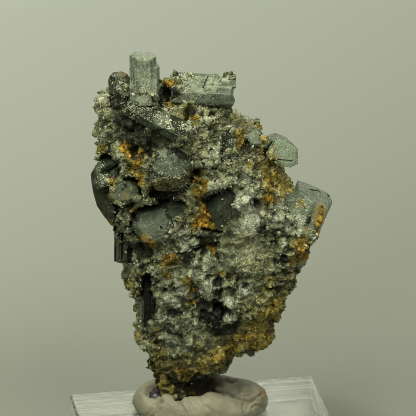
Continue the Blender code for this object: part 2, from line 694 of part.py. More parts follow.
    for i in range(count):
        ang = 2 * math.pi * i / count
        x = mid_x + half_x * math.cos(ang)
        y = mid_y + half_y * math.sin(ang)
        front = max(0.0, -math.sin(ang))
        lump(x, y, 4.5, 4.4, 5.9 + 2.2 * front + rng.uniform(-0.3, 0.3))
    for x, y, rx, ry, top in ((-3.3, 17.4, 14.0, 8.6, 3.2), (5.5, 19.5, 7.5, 7.0, 5.6),
                              (10.0, 17.5, 4.5, 6.5, 6.6), (-15.5, 17.0, 4.5, 6.5, 6.0)):
        lump(x, y, rx, ry, top)
    lumps = object_from_bmesh("putty", bm)
    remesh = lumps.modifiers.new("fuse", 'REMESH')
    remesh.mode = 'VOXEL'
    remesh.voxel_size = PUTTY_VOXEL * MM
    remesh.adaptivity = 0.0
    smooth = lumps.modifiers.new("soften", 'SMOOTH')
    smooth.factor = 0.5
    smooth.iterations = 2
    thin = lumps.modifiers.new("thin", 'DECIMATE')
    thin.ratio = PUTTY_KEEP
    bm = bmesh.new()
    bmesh.ops.create_cube(bm, size=1.0, matrix=Matrix.Translation((0, 0, PUTTY_LOW_Z - 15.0))
                          @ Matrix.Diagonal((90, 90, 30.0, 1.0)))
    boolean(lumps, object_from_bmesh("putty_floor", bm, cutter=True))
    foot = evaluated_bmesh(rock)
    cut = bmesh.ops.bisect_plane(foot, geom=foot.verts[:] + foot.edges[:] + foot.faces[:],
                                 plane_co=(0, 0, 33.0), plane_no=(0, 0, 1), clear_outer=True)
    rim = [g for g in cut["geom_cut"] if isinstance(g, bmesh.types.BMEdge)]
    bmesh.ops.holes_fill(foot, edges=rim, sides=0)
    points = [v.co.copy() for v in foot.verts]
    foot.free()
    low = [p for p in points if p.z < 26.5]
    high = [p for p in points if p.z >= 25.0]
    boolean(lumps, object_from_bmesh("putty_foot_low", hull(grown(low, GAP)), cutter=True))
    boolean(lumps, object_from_bmesh("putty_foot_high", hull(grown(high, GAP)), cutter=True))
    for cutter in sockets["fluorite_foot"]:
        boolean(lumps, cutter)
    apply_shape(lumps, putty_mat)


build()
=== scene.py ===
import math
import random

import bmesh
import bpy
import numpy as np
from mathutils import Matrix, Vector, noise
from mathutils.bvhtree import BVHTree


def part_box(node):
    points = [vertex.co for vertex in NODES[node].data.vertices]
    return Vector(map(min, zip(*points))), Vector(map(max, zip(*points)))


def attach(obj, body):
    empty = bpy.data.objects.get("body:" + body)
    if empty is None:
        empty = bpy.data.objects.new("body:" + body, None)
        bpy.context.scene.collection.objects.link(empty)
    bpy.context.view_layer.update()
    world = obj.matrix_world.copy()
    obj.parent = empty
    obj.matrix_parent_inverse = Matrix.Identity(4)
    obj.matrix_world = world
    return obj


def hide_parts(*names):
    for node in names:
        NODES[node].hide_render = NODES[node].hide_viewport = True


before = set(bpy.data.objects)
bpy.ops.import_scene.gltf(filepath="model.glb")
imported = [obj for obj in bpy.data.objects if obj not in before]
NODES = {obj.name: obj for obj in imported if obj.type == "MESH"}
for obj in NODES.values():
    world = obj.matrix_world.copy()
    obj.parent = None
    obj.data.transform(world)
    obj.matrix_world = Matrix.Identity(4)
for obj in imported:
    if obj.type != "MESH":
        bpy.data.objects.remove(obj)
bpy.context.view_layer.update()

MM = 0.001

# ------------------------------------------------------------------ the sketch grid
# (u, v) counts quarter-millimetre squares on the front, seen 23.3 degrees from
# above; the same grid that the crystals were laid out on.  Millimetres inside.
SIGHT_TILT = math.radians(23.3)
SIGHT_DISTANCE = 1144.0
SIGHT_POINT = np.array([-1.25, 17.0, 74.7])
GRID = 0.25
GRID_MID = 208.0
RIGHT = np.array([1.0, 0.0, 0.0])
UPWARD = np.array([0.0, math.sin(SIGHT_TILT), math.cos(SIGHT_TILT)])
AWAY = np.array([0.0, math.cos(SIGHT_TILT), -math.sin(SIGHT_TILT)])
EYE = SIGHT_POINT - AWAY * SIGHT_DISTANCE


def seen(u, v, depth):
    k = 1.0 + depth / SIGHT_DISTANCE
    return (SIGHT_POINT + RIGHT * ((u - GRID_MID) * GRID * k)
            + UPWARD * ((GRID_MID - v) * GRID * k) + AWAY * depth)


def depth_for_y(u, v, y):
    rise = (GRID_MID - v) * GRID * UPWARD[1]
    return (y - SIGHT_POINT[1] - rise) / (AWAY[1] + rise / SIGHT_DISTANCE)


def at_y(u, v, y):
    return seen(u, v, depth_for_y(u, v, y))


def grid_of(P):
    """(u, v, depth) of points, one row each."""
    rel = P - SIGHT_POINT
    depth = rel @ AWAY
    k = (1.0 + depth / SIGHT_DISTANCE) * GRID
    return GRID_MID + (rel @ RIGHT) / k, GRID_MID - (rel @ UPWARD) / k, depth


# ------------------------------------------------------------------ noise on arrays
def _mix(ix, iy, iz, seed):
    h = (ix * 73856093) ^ (iy * 19349663) ^ (iz * 83492791) ^ (seed * 40503 + 977)
    h = h & 0xFFFFFFFF
    h = ((h ^ (h >> 16)) * 0x45D9F3B) & 0xFFFFFFFF
    h = ((h ^ (h >> 15)) * 0x2C1B3C6D) & 0xFFFFFFFF
    h = h ^ (h >> 14)
    return h.astype(np.float64) / 4294967296.0


def vnoise(P, size, seed=0):
    """Smooth noise, -1 to 1, with blobs of about the given size."""
    Q = P / size + 531.17 + seed * 3.71
    I = np.floor(Q).astype(np.int64)
    F = Q - I
    F = F * F * F * (F * (F * 6 - 15) + 10)
    out = np.zeros(len(P))
    for dx in (0, 1):
        wx = F[:, 0] if dx else 1 - F[:, 0]
        for dy in (0, 1):
            wy = F[:, 1] if dy else 1 - F[:, 1]
            for dz in (0, 1):
                wz = F[:, 2] if dz else 1 - F[:, 2]
                out += wx * wy * wz * _mix(I[:, 0] + dx, I[:, 1] + dy, I[:, 2] + dz, seed)
    return out * 2 - 1


def fbm(P, size, seed=0, octaves=3, gain=0.5):
    out, amp, total = np.zeros(len(P)), 1.0, 0.0
    for i in range(octaves):
        out += amp * vnoise(P, size / 2 ** i, seed + i * 17)
        total += amp
        amp *= gain
    return out / total


def worley(P, size, seed=0):
    """Distance to the nearest and second nearest cell point (in cells), and
    three random numbers that belong to the nearest cell."""
    Q = P / size + 200.5 + seed * 1.37
    I = np.floor(Q).astype(np.int64)
    f1 = np.full(len(P), 9.0)
    f2 = np.full(len(P), 9.0)
    ids = np.zeros((len(P), 3), np.int64)
    for dx in (-1, 0, 1):
        for dy in (-1, 0, 1):
            for dz in (-1, 0, 1):
                C = I + np.array([dx, dy, dz])
                J = np.stack([_mix(C[:, 0], C[:, 1], C[:, 2], seed + k) for k in (1, 2, 3)], 1)
                d = np.linalg.norm(C + J - Q, axis=1)
                near = d < f1
                f2 = np.where(near, f1, np.minimum(f2, d))
                f1 = np.where(near, d, f1)
                ids[near] = C[near]
    r = np.stack([_mix(ids[:, 0], ids[:, 1], ids[:, 2], seed + k) for k in (11, 12, 13)], 1)
    return f1, f2, r


def smooth(x, lo, hi):
    t = np.clip((x - lo) / (hi - lo), 0.0, 1.0)
    return t * t * (3 - 2 * t)


# ------------------------------------------------------------------ mesh helpers
def mesh_object(name, co_mm, faces, smooth_shade=True):
    me = bpy.data.meshes.new(name)
    me.from_pydata((np.asarray(co_mm) * MM).tolist(), [], [list(f) for f in faces])
    me.update()
    if smooth_shade:
        me.shade_smooth()
    ob = bpy.data.objects.new(name, me)
    bpy.context.scene.collection.objects.link(ob)
    return ob


def fast_mesh(name, co_mm, loops, starts, totals, smooth_shade=False):
    """Mesh from flat arrays; quick for many thousands of faces."""
    me = bpy.data.meshes.new(name)
    me.vertices.add(len(co_mm))
    me.vertices.foreach_set("co", (np.asarray(co_mm) * MM).astype(np.float32).ravel())
    me.loops.add(len(loops))
    me.loops.foreach_set("vertex_index", np.asarray(loops, np.int32))
    me.polygons.add(len(starts))
    me.polygons.foreach_set("loop_start", np.asarray(starts, np.int32))
    me.polygons.foreach_set("loop_total", np.asarray(totals, np.int32))
    me.update(calc_edges=True)
    me.validate()
    if smooth_shade:
        me.shade_smooth()
    ob = bpy.data.objects.new(name, me)
    bpy.context.scene.collection.objects.link(ob)
    return ob


def coords(me):
    co = np.zeros(len(me.vertices) * 3, np.float32)
    me.vertices.foreach_get("co", co)
    return co.reshape(-1, 3).astype(np.float64) / MM


def set_coords(me, co_mm):
    me.vertices.foreach_set("co", (co_mm * MM).astype(np.float32).ravel())
    me.update()


def normals(me):
    n = np.zeros(len(me.vertices) * 3, np.float32)
    me.vertex_normals.foreach_get("vector", n)
    return n.reshape(-1, 3).astype(np.float64)


def paint(me, name, rgba):
    a = me.attributes.get(name) or me.attributes.new(name, 'FLOAT_COLOR', 'POINT')
    a.data.foreach_set("color", rgba.astype(np.float32).ravel())


def vector_attribute(me, name, vec):
    a = me.attributes.get(name) or me.attributes.new(name, 'FLOAT_VECTOR', 'POINT')
    a.data.foreach_set("vector", vec.astype(np.float32).ravel())


def voxel_mesh(ob, size_mm, name):
    """The object remeshed into even small quads, as new mesh data."""
    mod = ob.modifiers.new("fuse", 'REMESH')
    mod.mode = 'VOXEL'
    mod.voxel_size = size_mm * MM
    mod.adaptivity = 0.0
    bpy.context.view_layer.update()
    ev = ob.evaluated_get(bpy.context.evaluated_depsgraph_get())
    me = bpy.data.meshes.new_from_object(ev)
    me.name = name
    me.transform(ob.matrix_world)
    ob.modifiers.remove(mod)
    return me


def tree_of(objects):
    """One search tree over several meshes, in millimetres."""
    verts, polys, base = [], [], 0
    for ob in objects:
        co = coords(ob.data)
        verts.extend(map(tuple, co))
        for p in ob.data.polygons:
            polys.append([i + base for i in p.vertices])
        base += len(co)
    return BVHTree.FromPolygons(verts, polys)


def sight_hit(tree, u, v):
    start = Vector(EYE)
    aim = (Vector(seen(u, v, 0.0)) - start).normalized()
    p, n, _, _ = tree.ray_cast(start, aim)
    return (None, None) if p is None else (np.array(p), np.array(n))


# ------------------------------------------------------------------ node helpers
class Nodes:
    """Short hand for building one material's node tree."""

    def __init__(self, name):
        self.mat = bpy.data.materials.new(name)
        self.mat.use_nodes = True
        self.t = self.mat.node_tree
        self.t.nodes.clear()
        self.out = self.t.nodes.new("ShaderNodeOutputMaterial")
        self.bsdf = self.t.nodes.new("ShaderNodeBsdfPrincipled")
        self.t.links.new(self.bsdf.outputs[0], self.out.inputs[0])

    def new(self, kind, **props):
        n = self.t.nodes.new(kind)
        for k, v in props.items():
            setattr(n, k, v)
        return n

    def put(self, socket, value):
        if isinstance(value, bpy.types.NodeSocket):
            self.t.links.new(value, socket)
        elif isinstance(value, (tuple, list)) and len(value) == 3 and socket.type == 'RGBA':
            socket.default_value = (*value, 1.0)
        else:
            socket.default_value = value

    def attr(self, name):
        n = self.new("ShaderNodeAttribute", attribute_name=name)
        return n

    def coord(self):
        return self.new("ShaderNodeTexCoord").outputs["Object"]

    def mapping(self, vec, scale=(1, 1, 1), loc=(0, 0, 0), rot=(0, 0, 0)):
        n = self.new("ShaderNodeMapping")
        self.put(n.inputs["Vector"], vec)
        n.inputs["Scale"].default_value = scale
        n.inputs["Location"].default_value = loc
        n.inputs["Rotation"].default_value = rot
        return n.outputs[0]

    def noise(self, vec, scale, detail=3.0, rough=0.55, distortion=0.0):
        n = self.new("ShaderNodeTexNoise")
        self.put(n.inputs["Vector"], vec)
        n.inputs["Scale"].default_value = scale
        n.inputs["Detail"].default_value = detail
        n.inputs["Roughness"].default_value = rough
        n.inputs["Distortion"].default_value = distortion
        return n.outputs["Fac"]

    def voronoi(self, vec, scale, feature='F1', out="Distance", randomness=1.0):
        n = self.new("ShaderNodeTexVoronoi", feature=feature)
        self.put(n.inputs["Vector"], vec)
        n.inputs["Scale"].default_value = scale
        n.inputs["Randomness"].default_value = randomness
        return n.outputs[out]

    def ramp(self, fac, stops, mode='LINEAR'):
        n = self.new("ShaderNodeValToRGB")
        self.put(n.inputs[0], fac)
        cr = n.color_ramp
        cr.interpolation = mode
        while len(cr.elements) > 1:
            cr.elements.remove(cr.elements[-1])
        for i, (pos, col) in enumerate(stops):
            e = cr.elements[0] if i == 0 else cr.elements.new(pos)
            e.position = pos
            if not isinstance(col, (tuple, list)):
                col = (col, col, col)
            e.color = (*col, 1.0)
        return n.outputs[0]

    def mix(self, fac, a, b, kind='MIX', clamp=False):
        n = self.new("ShaderNodeMix", data_type='RGBA', blend_type=kind)
        n.clamp_result = clamp
        self.put(n.inputs[0], fac)
        self.put(n.inputs[6], a)
        self.put(n.inputs[7], b)
        return n.outputs[2]

    def math(self, op, a, b=0.0, c=None, clamp=False):
        n = self.new("ShaderNodeMath", operation=op, use_clamp=clamp)
        self.put(n.inputs[0], a)
        self.put(n.inputs[1], b)
        if c is not None:
            self.put(n.inputs[2], c)
        return n.outputs[0]

    def maprange(self, x, a, b, c, d):
        n = self.new("ShaderNodeMapRange")
        n.clamp = True
        self.put(n.inputs[0], x)
        for i, val in enumerate((a, b, c, d)):
            n.inputs[i + 1].default_value = val
        return n.outputs[0]

    def split(self, col):
        n = self.new("ShaderNodeSeparateColor")
        self.put(n.inputs[0], col)
        return n.outputs[0], n.outputs[1], n.outputs[2]

    def bump(self, height, strength, distance_mm, normal=None):
        n = self.new("ShaderNodeBump")
        self.put(n.inputs["Height"], height)
        n.inputs["Strength"].default_value = strength
        n.inputs["Distance"].default_value = distance_mm * MM
        if normal is not None:
            self.put(n.inputs["Normal"], normal)
        return n.outputs[0]

    def set(self, **values):
        for k, v in values.items():
            self.put(self.bsdf.inputs[k.replace("_", " ")], v)
        return self


# ================================================================== materials
def rock_material():
    """Mica schist crust: olive-yellow mica, dark seams, iron stains, and painted shade in the hollows, crevices and
    behind the crystals.
    """
    m = Nodes("mica_rock")
    zone = m.attr("zone")
    rust, dark, pale = m.split(zone.outputs["Color"])
    p = m.coord()
    cells = m.voronoi(p, 1500.0, out="Color")
    c_r, c_g, c_b = m.split(cells)
    fine = m.noise(p, 3600.0, 4.0, 0.65)
    mid = m.noise(p, 640.0, 3.0, 0.6)
    grit = m.maprange(fine, 0.32, 0.68, 0.0, 1.0)
    tone = m.math('ADD', m.math('MULTIPLY', c_r, 0.24), m.math('ADD', m.math('MULTIPLY', grit, 0.40), 0.11))
    tone = m.math('ADD', tone, m.math('MULTIPLY', m.math('SUBTRACT', mid, 0.5), 0.55))
    tone = m.math('ADD', tone, m.math('MULTIPLY', m.math('SUBTRACT', pale, -0.05), 0.32))
    base = m.ramp(tone, [(0.14, (0.012, 0.012, 0.004)), (0.30, (0.075, 0.078, 0.031)),
                         (0.46, (0.205, 0.215, 0.118)), (0.64, (0.40, 0.42, 0.275)),
                         (0.90, (0.66, 0.69, 0.53))])
    ochre = m.noise(p, 420.0, 2.0, 0.5)
    base = m.mix(m.maprange(ochre, 0.50, 0.68, 0.0, 0.40), base,
                 m.ramp(tone, [(0.2, (0.045, 0.038, 0.010)), (0.5, (0.22, 0.205, 0.068)), (0.85, (0.50, 0.48, 0.22))]))
    iron = m.ramp(m.noise(p, 1100.0, 4.0, 0.7),
                  [(0.30, (0.018, 0.010, 0.001)), (0.41, (0.13, 0.072, 0.007)),
                   (0.51, (0.50, 0.27, 0.020)), (0.64, (0.85, 0.48, 0.060)), (0.82, (0.85, 0.60, 0.17))])
    base = m.mix(m.math('MULTIPLY', pale, 0.9, clamp=True), base, m.mix(1.0, base, (1.0, 1.0, 1.22), kind='MULTIPLY'))
    spread = m.math('MULTIPLY', rust, m.maprange(m.noise(p, 1500.0, 3.0, 0.6), 0.32, 0.58, 0.45, 1.0))
    golden = m.mix(1.0, base, (1.04, 0.765, 0.19), kind='MULTIPLY')
    col = m.mix(m.maprange(spread, 0.05, 0.45, 0.0, 1.0), base, golden)
    col = m.mix(m.maprange(spread, 0.42, 0.72, 0.0, 0.95), col, iron)
    # dark seams and painted shade go near black
    col = m.mix(m.maprange(dark, 0.0, 0.75, 0.0, 0.97), col, (0.004, 0.0045, 0.003))
    m.set(Base_Color=col)
    m.set(Roughness=m.maprange(c_g, 0.0, 1.0, 0.42, 0.80), Specular_IOR_Level=0.34)
    m.bsdf.inputs["Specular Tint"].default_value = (0.92, 1.0, 0.80, 1.0)
    h = m.math('ADD', m.math('MULTIPLY', m.voronoi(p, 2300.0), 0.6), m.math('MULTIPLY', fine, 0.8))
    b1 = m.bump(m.voronoi(p, 1150.0), 0.60, 0.30)
    m.set(Normal=m.bump(h, 0.75, 0.16, b1))
    return m.mat


def flake_material(name="mica_flakes"):
    """Mica plates: the tone, stain and shade of each plate is in its colour."""
    m = Nodes(name)
    a = m.attr("tone")
    tone, rust, dark = m.split(a.outputs["Color"])
    rnd = a.outputs["Alpha"]
    p = m.coord()
    fine = m.noise(p, 3800.0, 3.0, 0.6)
    t = m.math('ADD', tone, m.math('MULTIPLY', m.math('SUBTRACT', fine, 0.5), 0.70))
    base = m.ramp(t, [(0.05, (0.020, 0.021, 0.009)), (0.28, (0.115, 0.120, 0.062)),
                      (0.5, (0.270, 0.285, 0.172)), (0.75, (0.48, 0.505, 0.365)),
                      (1.0, (0.80, 0.83, 0.70))])
    iron = m.ramp(m.math('ADD', m.math('MULTIPLY', rnd, 0.7), m.math('MULTIPLY', fine, 0.4)),
                  [(0.12, (0.035, 0.019, 0.002)), (0.35, (0.17, 0.092, 0.009)),
                   (0.6, (0.60, 0.32, 0.026)), (0.8, (0.88, 0.52, 0.080)), (1.0, (0.82, 0.60, 0.20))])
    golden = m.mix(1.0, base, (1.04, 0.765, 0.19), kind='MULTIPLY')
    col = m.mix(m.maprange(rust, 0.05, 0.45, 0.0, 1.0), base, golden)
    col = m.mix(m.maprange(rust, 0.42, 0.72, 0.0, 0.95), col, iron)
    # black grains, and painted shade on plates in the crevices
    col = m.mix(dark, col, (0.006, 0.006, 0.003))
    m.set(Base_Color=col, Specular_IOR_Level=0.5,
          Roughness=m.maprange(m.math('ADD', rnd, m.math('MULTIPLY', fine, 0.10)), 0.08, 0.30, 0.14, 0.58))
    m.set(Normal=m.bump(m.noise(p, 5200.0, 2.0, 0.5), 0.25, 0.05))
    return m.mat


def beryl_material(name, deep, mid, frost, transmission, rough_lo, rough_hi, density,
                   frost_amount=0.35, facet=0.5, absorb_tint=(0.50, 0.66, 0.60), shine=0.5):
    """Aquamarine: glassy gray-green body with growth lines along its length,
    frosted and etched patches, veils, stains.  'cx' holds each crystal's own
    coordinates (mm), z along its length."""
    m = Nodes(name)
    cx = m.attr("cx").outputs["Vector"]
    rust, dark, pale = m.split(m.attr("zone").outputs["Color"])
    striae = m.noise(m.mapping(cx, (3.4, 3.4, 0.20)), 1.0, 3.0, 0.6)
    cloud = m.noise(cx, 0.55, 4.0, 0.62, 0.4)
    grain = m.noise(m.mapping(cx, (1.0, 1.0, 0.6)), 3.4, 4.0, 0.65)
    speck = m.noise(cx, 6.5, 3.0, 0.6)
    depth_tone = m.math('ADD', m.math('MULTIPLY', striae, 0.5), m.math('MULTIPLY', cloud, 0.6))
    body = m.mix(m.maprange(depth_tone, 0.38, 0.72, 0.0, 1.0), deep, mid)
    f = m.math('ADD', m.math('MULTIPLY', grain, 0.62), m.math('MULTIPLY', cloud, 0.42))
    f = m.math('ADD', f, m.math('MULTIPLY', pale, 0.16))
    fmask = m.maprange(f, 0.545, 0.63, 0.0, 1.0)
    fmask = m.math('MULTIPLY', fmask, m.math('ADD', frost_amount, m.math('MULTIPLY', pale, 0.6)), clamp=True)
    fcol = m.mix(m.maprange(speck, 0.35, 0.65, 0.0, 1.0), frost, tuple(c * 0.55 for c in frost))
    col = m.mix(fmask, body, fcol)
    iron = m.ramp(speck, [(0.32, (0.045, 0.026, 0.004)), (0.5, (0.26, 0.165, 0.024)), (0.7, (0.52, 0.40, 0.12))])
    stain = m.math('MULTIPLY', rust, m.maprange(grain, 0.30, 0.55, 0.25, 1.0), clamp=True)
    col = m.mix(stain, col, iron)
    # painted shade on the crystal faces, from the crystal tone table
    col = m.mix(m.math('MULTIPLY', dark, 0.88), col, (0.010, 0.012, 0.010))
    opaque = m.math('MAXIMUM', fmask, m.math('MAXIMUM', stain, dark))
    trans = m.math('MULTIPLY', m.math('SUBTRACT', 1.0, opaque, clamp=True), transmission)
    m.bsdf.inputs["Specular Tint"].default_value = (0.86, 1.0, 0.76, 1.0)
    m.set(Base_Color=col, Transmission_Weight=trans, IOR=1.575, Specular_IOR_Level=shine,
          Roughness=m.maprange(m.math('ADD', m.math('MULTIPLY', cloud, 0.5), m.math('MULTIPLY', speck, 0.6)),
                               0.38, 0.72, rough_lo, rough_hi))
    cells = m.voronoi(m.mapping(cx, (1.0, 1.0, 0.7)), 1.9)
    h = m.math('ADD', m.math('MULTIPLY', striae, 0.7), m.math('MULTIPLY', grain, facet))
    h = m.math('ADD', h, m.math('MULTIPLY', cells, facet * 0.8))
    h = m.math('ADD', h, m.math('MULTIPLY', speck, facet * 0.35))
    m.set(Normal=m.bump(h, 0.62, 0.16))
    if density > 0:
        absorb = m.new("ShaderNodeVolumeAbsorption")
        absorb.inputs["Color"].default_value = (*absorb_tint, 1.0)
        absorb.inputs["Density"].default_value = density
        m.t.links.new(absorb.outputs[0], m.out.inputs["Volume"])
    return m.mat


def schorl_material():
    m = Nodes("schorl_black")
    cx = m.attr("cx").outputs["Vector"]
    striae = m.noise(m.mapping(cx, (6.5, 6.5, 0.12)), 1.0, 3.0, 0.65)
    speck = m.noise(cx, 5.0, 3.0, 0.6)
    col = m.ramp(m.math('ADD', m.math('MULTIPLY', striae, 0.6), m.math('MULTIPLY', speck, 0.4)),
                 [(0.35, (0.002, 0.002, 0.002)), (0.6, (0.006, 0.006, 0.005)), (0.8, (0.020, 0.021, 0.018))])
    m.bsdf.inputs["Specular Tint"].default_value = (0.86, 1.0, 0.80, 1.0)
    m.set(Base_Color=col, Roughness=m.maprange(speck, 0.3, 0.7, 0.16, 0.34), IOR=1.64, Specular_IOR_Level=0.14)
    m.set(Normal=m.bump(striae, 0.6, 0.10))
    return m.mat


def fluorite_material():
    m = Nodes("fluorite_violet")
    cx = m.attr("cx").outputs["Vector"]
    bands = m.noise(m.mapping(cx, (0.3, 0.3, 1.6)), 1.0, 3.0, 0.5)
    speck = m.noise(cx, 3.0, 3.0, 0.6)
    col = m.ramp(m.math('ADD', m.math('MULTIPLY', bands, 0.6), m.math('MULTIPLY', speck, 0.4)),
                 [(0.3, (0.045, 0.030, 0.055)), (0.55, (0.13, 0.10, 0.145)), (0.75, (0.30, 0.27, 0.30))])
    m.set(Base_Color=col, Transmission_Weight=0.65, IOR=1.434,
          Roughness=m.maprange(speck, 0.3, 0.7, 0.08, 0.35))
    m.set(Normal=m.bump(m.noise(cx, 1.8, 2.0), 0.3, 0.08))
    absorb = m.new("ShaderNodeVolumeAbsorption")
    absorb.inputs["Color"].default_value = (0.62, 0.48, 0.70, 1.0)
    absorb.inputs["Density"].default_value = 160.0
    m.t.links.new(absorb.outputs[0], m.out.inputs["Volume"])
    return m.mat


def putty_material():
    m = Nodes("putty")
    dirt, putty_shade, pale = m.split(m.attr("zone").outputs["Color"])
    p = m.coord()
    broad = m.noise(p, 170.0, 3.0, 0.55)
    fine = m.noise(p, 1500.0, 4.0, 0.6)
    t = m.math('ADD', m.math('MULTIPLY', broad, 0.6), m.math('MULTIPLY', fine, 0.4))
    col = m.ramp(t, [(0.30, (0.223, 0.211, 0.154)), (0.5, (0.268, 0.256, 0.190)), (0.7, (0.315, 0.303, 0.230))])
    # painted shade in the creases, the pits and the hollow behind the wall
    col = m.mix(m.math('MULTIPLY', putty_shade, 0.84), col, (0.050, 0.042, 0.022))
    col = m.mix(m.math('MULTIPLY', dirt, m.maprange(fine, 0.35, 0.6, 0.4, 1.0), clamp=True), col, (0.27, 0.16, 0.045))
    specks = m.maprange(m.voronoi(p, 800.0), 0.0, 0.11, 0.0, 1.0)
    col = m.mix(m.math('MULTIPLY', m.math('SUBTRACT', 1.0, specks), 0.40), col, (0.17, 0.14, 0.08))
    m.set(Base_Color=col, Roughness=m.maprange(fine, 0.3, 0.7, 0.46, 0.64), Specular_IOR_Level=0.4)
    pit = m.maprange(m.voronoi(p, 950.0), 0.0, 0.22, 0.0, 1.0)
    h = m.math('ADD', m.math('MULTIPLY', fine, 0.8), m.math('MULTIPLY', pit, 0.5))
    m.set(Normal=m.bump(h, 0.65, 0.14))
    return m.mat


def acrylic_material():
    """Polished above and below; the four sides keep level machining lines."""
    m = Nodes("clear_acrylic")
    p = m.coord()
    n = m.new("ShaderNodeSeparateXYZ")
    m.put(n.inputs[0], m.new("ShaderNodeNewGeometry").outputs["Normal"])
    side = m.math('SUBTRACT', 1.0, m.math('ABSOLUTE', n.outputs[2]), clamp=True)
    side = m.maprange(side, 0.5, 0.9, 0.0, 1.0)
    haze = m.noise(p, 60.0, 3.0, 0.6)
    hair = m.noise(m.mapping(p, (30.0, 1400.0, 400.0), rot=(0, 0, 0.35)), 1.0, 2.0, 0.5)
    lines = m.noise(m.mapping(p, (9.0, 9.0, 900.0)), 1.0, 3.0, 0.65)
    mill = m.noise(m.mapping(p, (16.0, 16.0, 380.0)), 1.0, 2.0, 0.6)
    streak = m.math('MULTIPLY', side, m.maprange(m.math('ADD', m.math('MULTIPLY', lines, 0.5), m.math('MULTIPLY', mill, 0.5)),
                                               0.44, 0.60, 0.0, 1.0))
    rough = m.math('ADD', m.maprange(haze, 0.35, 0.7, 0.012, 0.04), m.maprange(hair, 0.66, 0.78, 0.0, 0.10))
    rough = m.math('ADD', rough, m.math('MULTIPLY', side, 0.30))
    col = m.mix(haze, (0.975, 0.99, 0.975), (0.99, 1.0, 0.99))
    col = m.mix(streak, col, (0.93, 0.95, 0.90))
    m.set(Base_Color=col, Roughness=rough, IOR=1.491,
          Transmission_Weight=m.math('SUBTRACT', 1.0, m.math('MULTIPLY', streak, 0.55)))
    h = m.math('ADD', m.math('MULTIPLY', hair, 0.05), m.math('MULTIPLY', m.math('MULTIPLY', lines, side), 0.9))
    m.set(Normal=m.bump(h, 0.25, 0.05))
    absorb = m.new("ShaderNodeVolumeAbsorption")
    absorb.inputs["Color"].default_value = (0.80, 0.92, 0.84, 1.0)
    absorb.inputs["Density"].default_value = 2.0
    m.t.links.new(absorb.outputs[0], m.out.inputs["Volume"])
    return m.mat


def floor_material():
    """Paper floor with a painted light falloff, a little lighter toward the back and the left."""
    m = Nodes("paper_floor")
    p = m.coord()
    xyz = m.new("ShaderNodeSeparateXYZ")
    m.put(xyz.inputs[0], p)
    n = m.noise(p, 3.0, 3.0, 0.5)
    fine = m.noise(p, 900.0, 3.0, 0.6)
    # painted light falloff across the floor
    light_falloff = m.math('SUBTRACT', m.math('MULTIPLY', xyz.outputs[1], 2.3), m.math('MULTIPLY', xyz.outputs[0], 1.9))
    light_falloff = m.math('ADD', light_falloff, m.math('MULTIPLY', n, 0.06))
    col = m.ramp(m.maprange(light_falloff, -0.15, 1.05, 0.0, 1.0),
                 [(0.0, (0.232, 0.242, 0.219)), (0.36, (0.255, 0.265, 0.241)), (0.507, (0.304, 0.316, 0.290)),
                  (0.91, (0.430, 0.446, 0.420)), (1.0, (0.495, 0.515, 0.488))])
    m.set(Base_Color=col, Roughness=m.maprange(fine, 0.3, 0.7, 0.80, 0.92), Specular_IOR_Level=0.2)
    m.set(Normal=m.bump(fine, 0.05, 0.03))
    return m.mat


MAT_ROCK = rock_material()
MAT_FLAKE = flake_material()
MAT_CLEAR = beryl_material("aquamarine_clear", (0.25, 0.30, 0.23), (0.42, 0.48, 0.38), (0.40, 0.44, 0.33), 0.74,
                           0.12, 0.32, 130.0, frost_amount=0.24, facet=0.10, absorb_tint=(0.56, 0.68, 0.56), shine=0.22)
MAT_BERYL = beryl_material("aquamarine_cloudy", (0.075, 0.092, 0.070), (0.30, 0.345, 0.265), (0.48, 0.52, 0.40), 0.45,
                           0.12, 0.36, 80.0, frost_amount=0.40, facet=0.5, absorb_tint=(0.50, 0.64, 0.54), shine=0.25)
MAT_ETCH = beryl_material("aquamarine_etched", (0.005, 0.006, 0.004), (0.036, 0.043, 0.029), (0.38, 0.42, 0.31), 0.25,
                          0.08, 0.34, 0.0, frost_amount=0.20, facet=0.7, shine=0.26)
MAT_DIM = beryl_material("aquamarine_dim", (0.006, 0.008, 0.005), (0.066, 0.077, 0.052), (0.16, 0.185, 0.12), 0.35,
                         0.22, 0.48, 0.0, frost_amount=0.12, facet=0.25, shine=0.09)
MAT_PALE = beryl_material("aquamarine_pale", (0.055, 0.070, 0.052), (0.46, 0.51, 0.40), (0.62, 0.67, 0.54), 0.40,
                          0.12, 0.36, 40.0, frost_amount=0.40, facet=0.35, absorb_tint=(0.60, 0.70, 0.58), shine=0.30)
MAT_SCHORL = schorl_material()
MAT_FLUOR = fluorite_material()
MAT_PUTTY = putty_material()
MAT_ACRYLIC = acrylic_material()
MAT_FLOOR = floor_material()

# ================================================================== the rock's plan
ROCK_OUTLINE = np.array([
    (122, 78), (113, 86), (104, 90), (97, 97), (96, 108), (100, 114), (98, 126),
    (99, 141), (99, 158), (104, 170), (105, 192), (110, 212), (118, 232),
    (125, 262), (126, 280), (131, 292), (140, 302), (137, 320), (134, 332),
    (139, 342), (149, 352), (154, 362), (156, 376), (157, 393), (166, 402),
    (186, 402), (198, 390), (207, 376), (226, 364), (231, 354), (246, 351),
    (268, 350), (273, 340), (272, 330), (277, 319), (281, 306), (285, 296),
    (291, 288), (295, 279), (298, 270), (303, 260), (308, 249), (314, 240),
    (316, 222), (300, 204), (289, 188), (287, 176), (281, 166), (268, 151),
    (261, 131), (255, 121), (240, 115), (230, 108), (226, 86), (200, 78),
    (168, 77), (158, 80), (140, 78)], float)
ROCK_HALF_DEPTH = ((70, 110, 170, 240, 300, 350, 402), (11.5, 14.5, 16.0, 15.5, 12.5, 9.8, 7.0))
MID_Y = 17.0

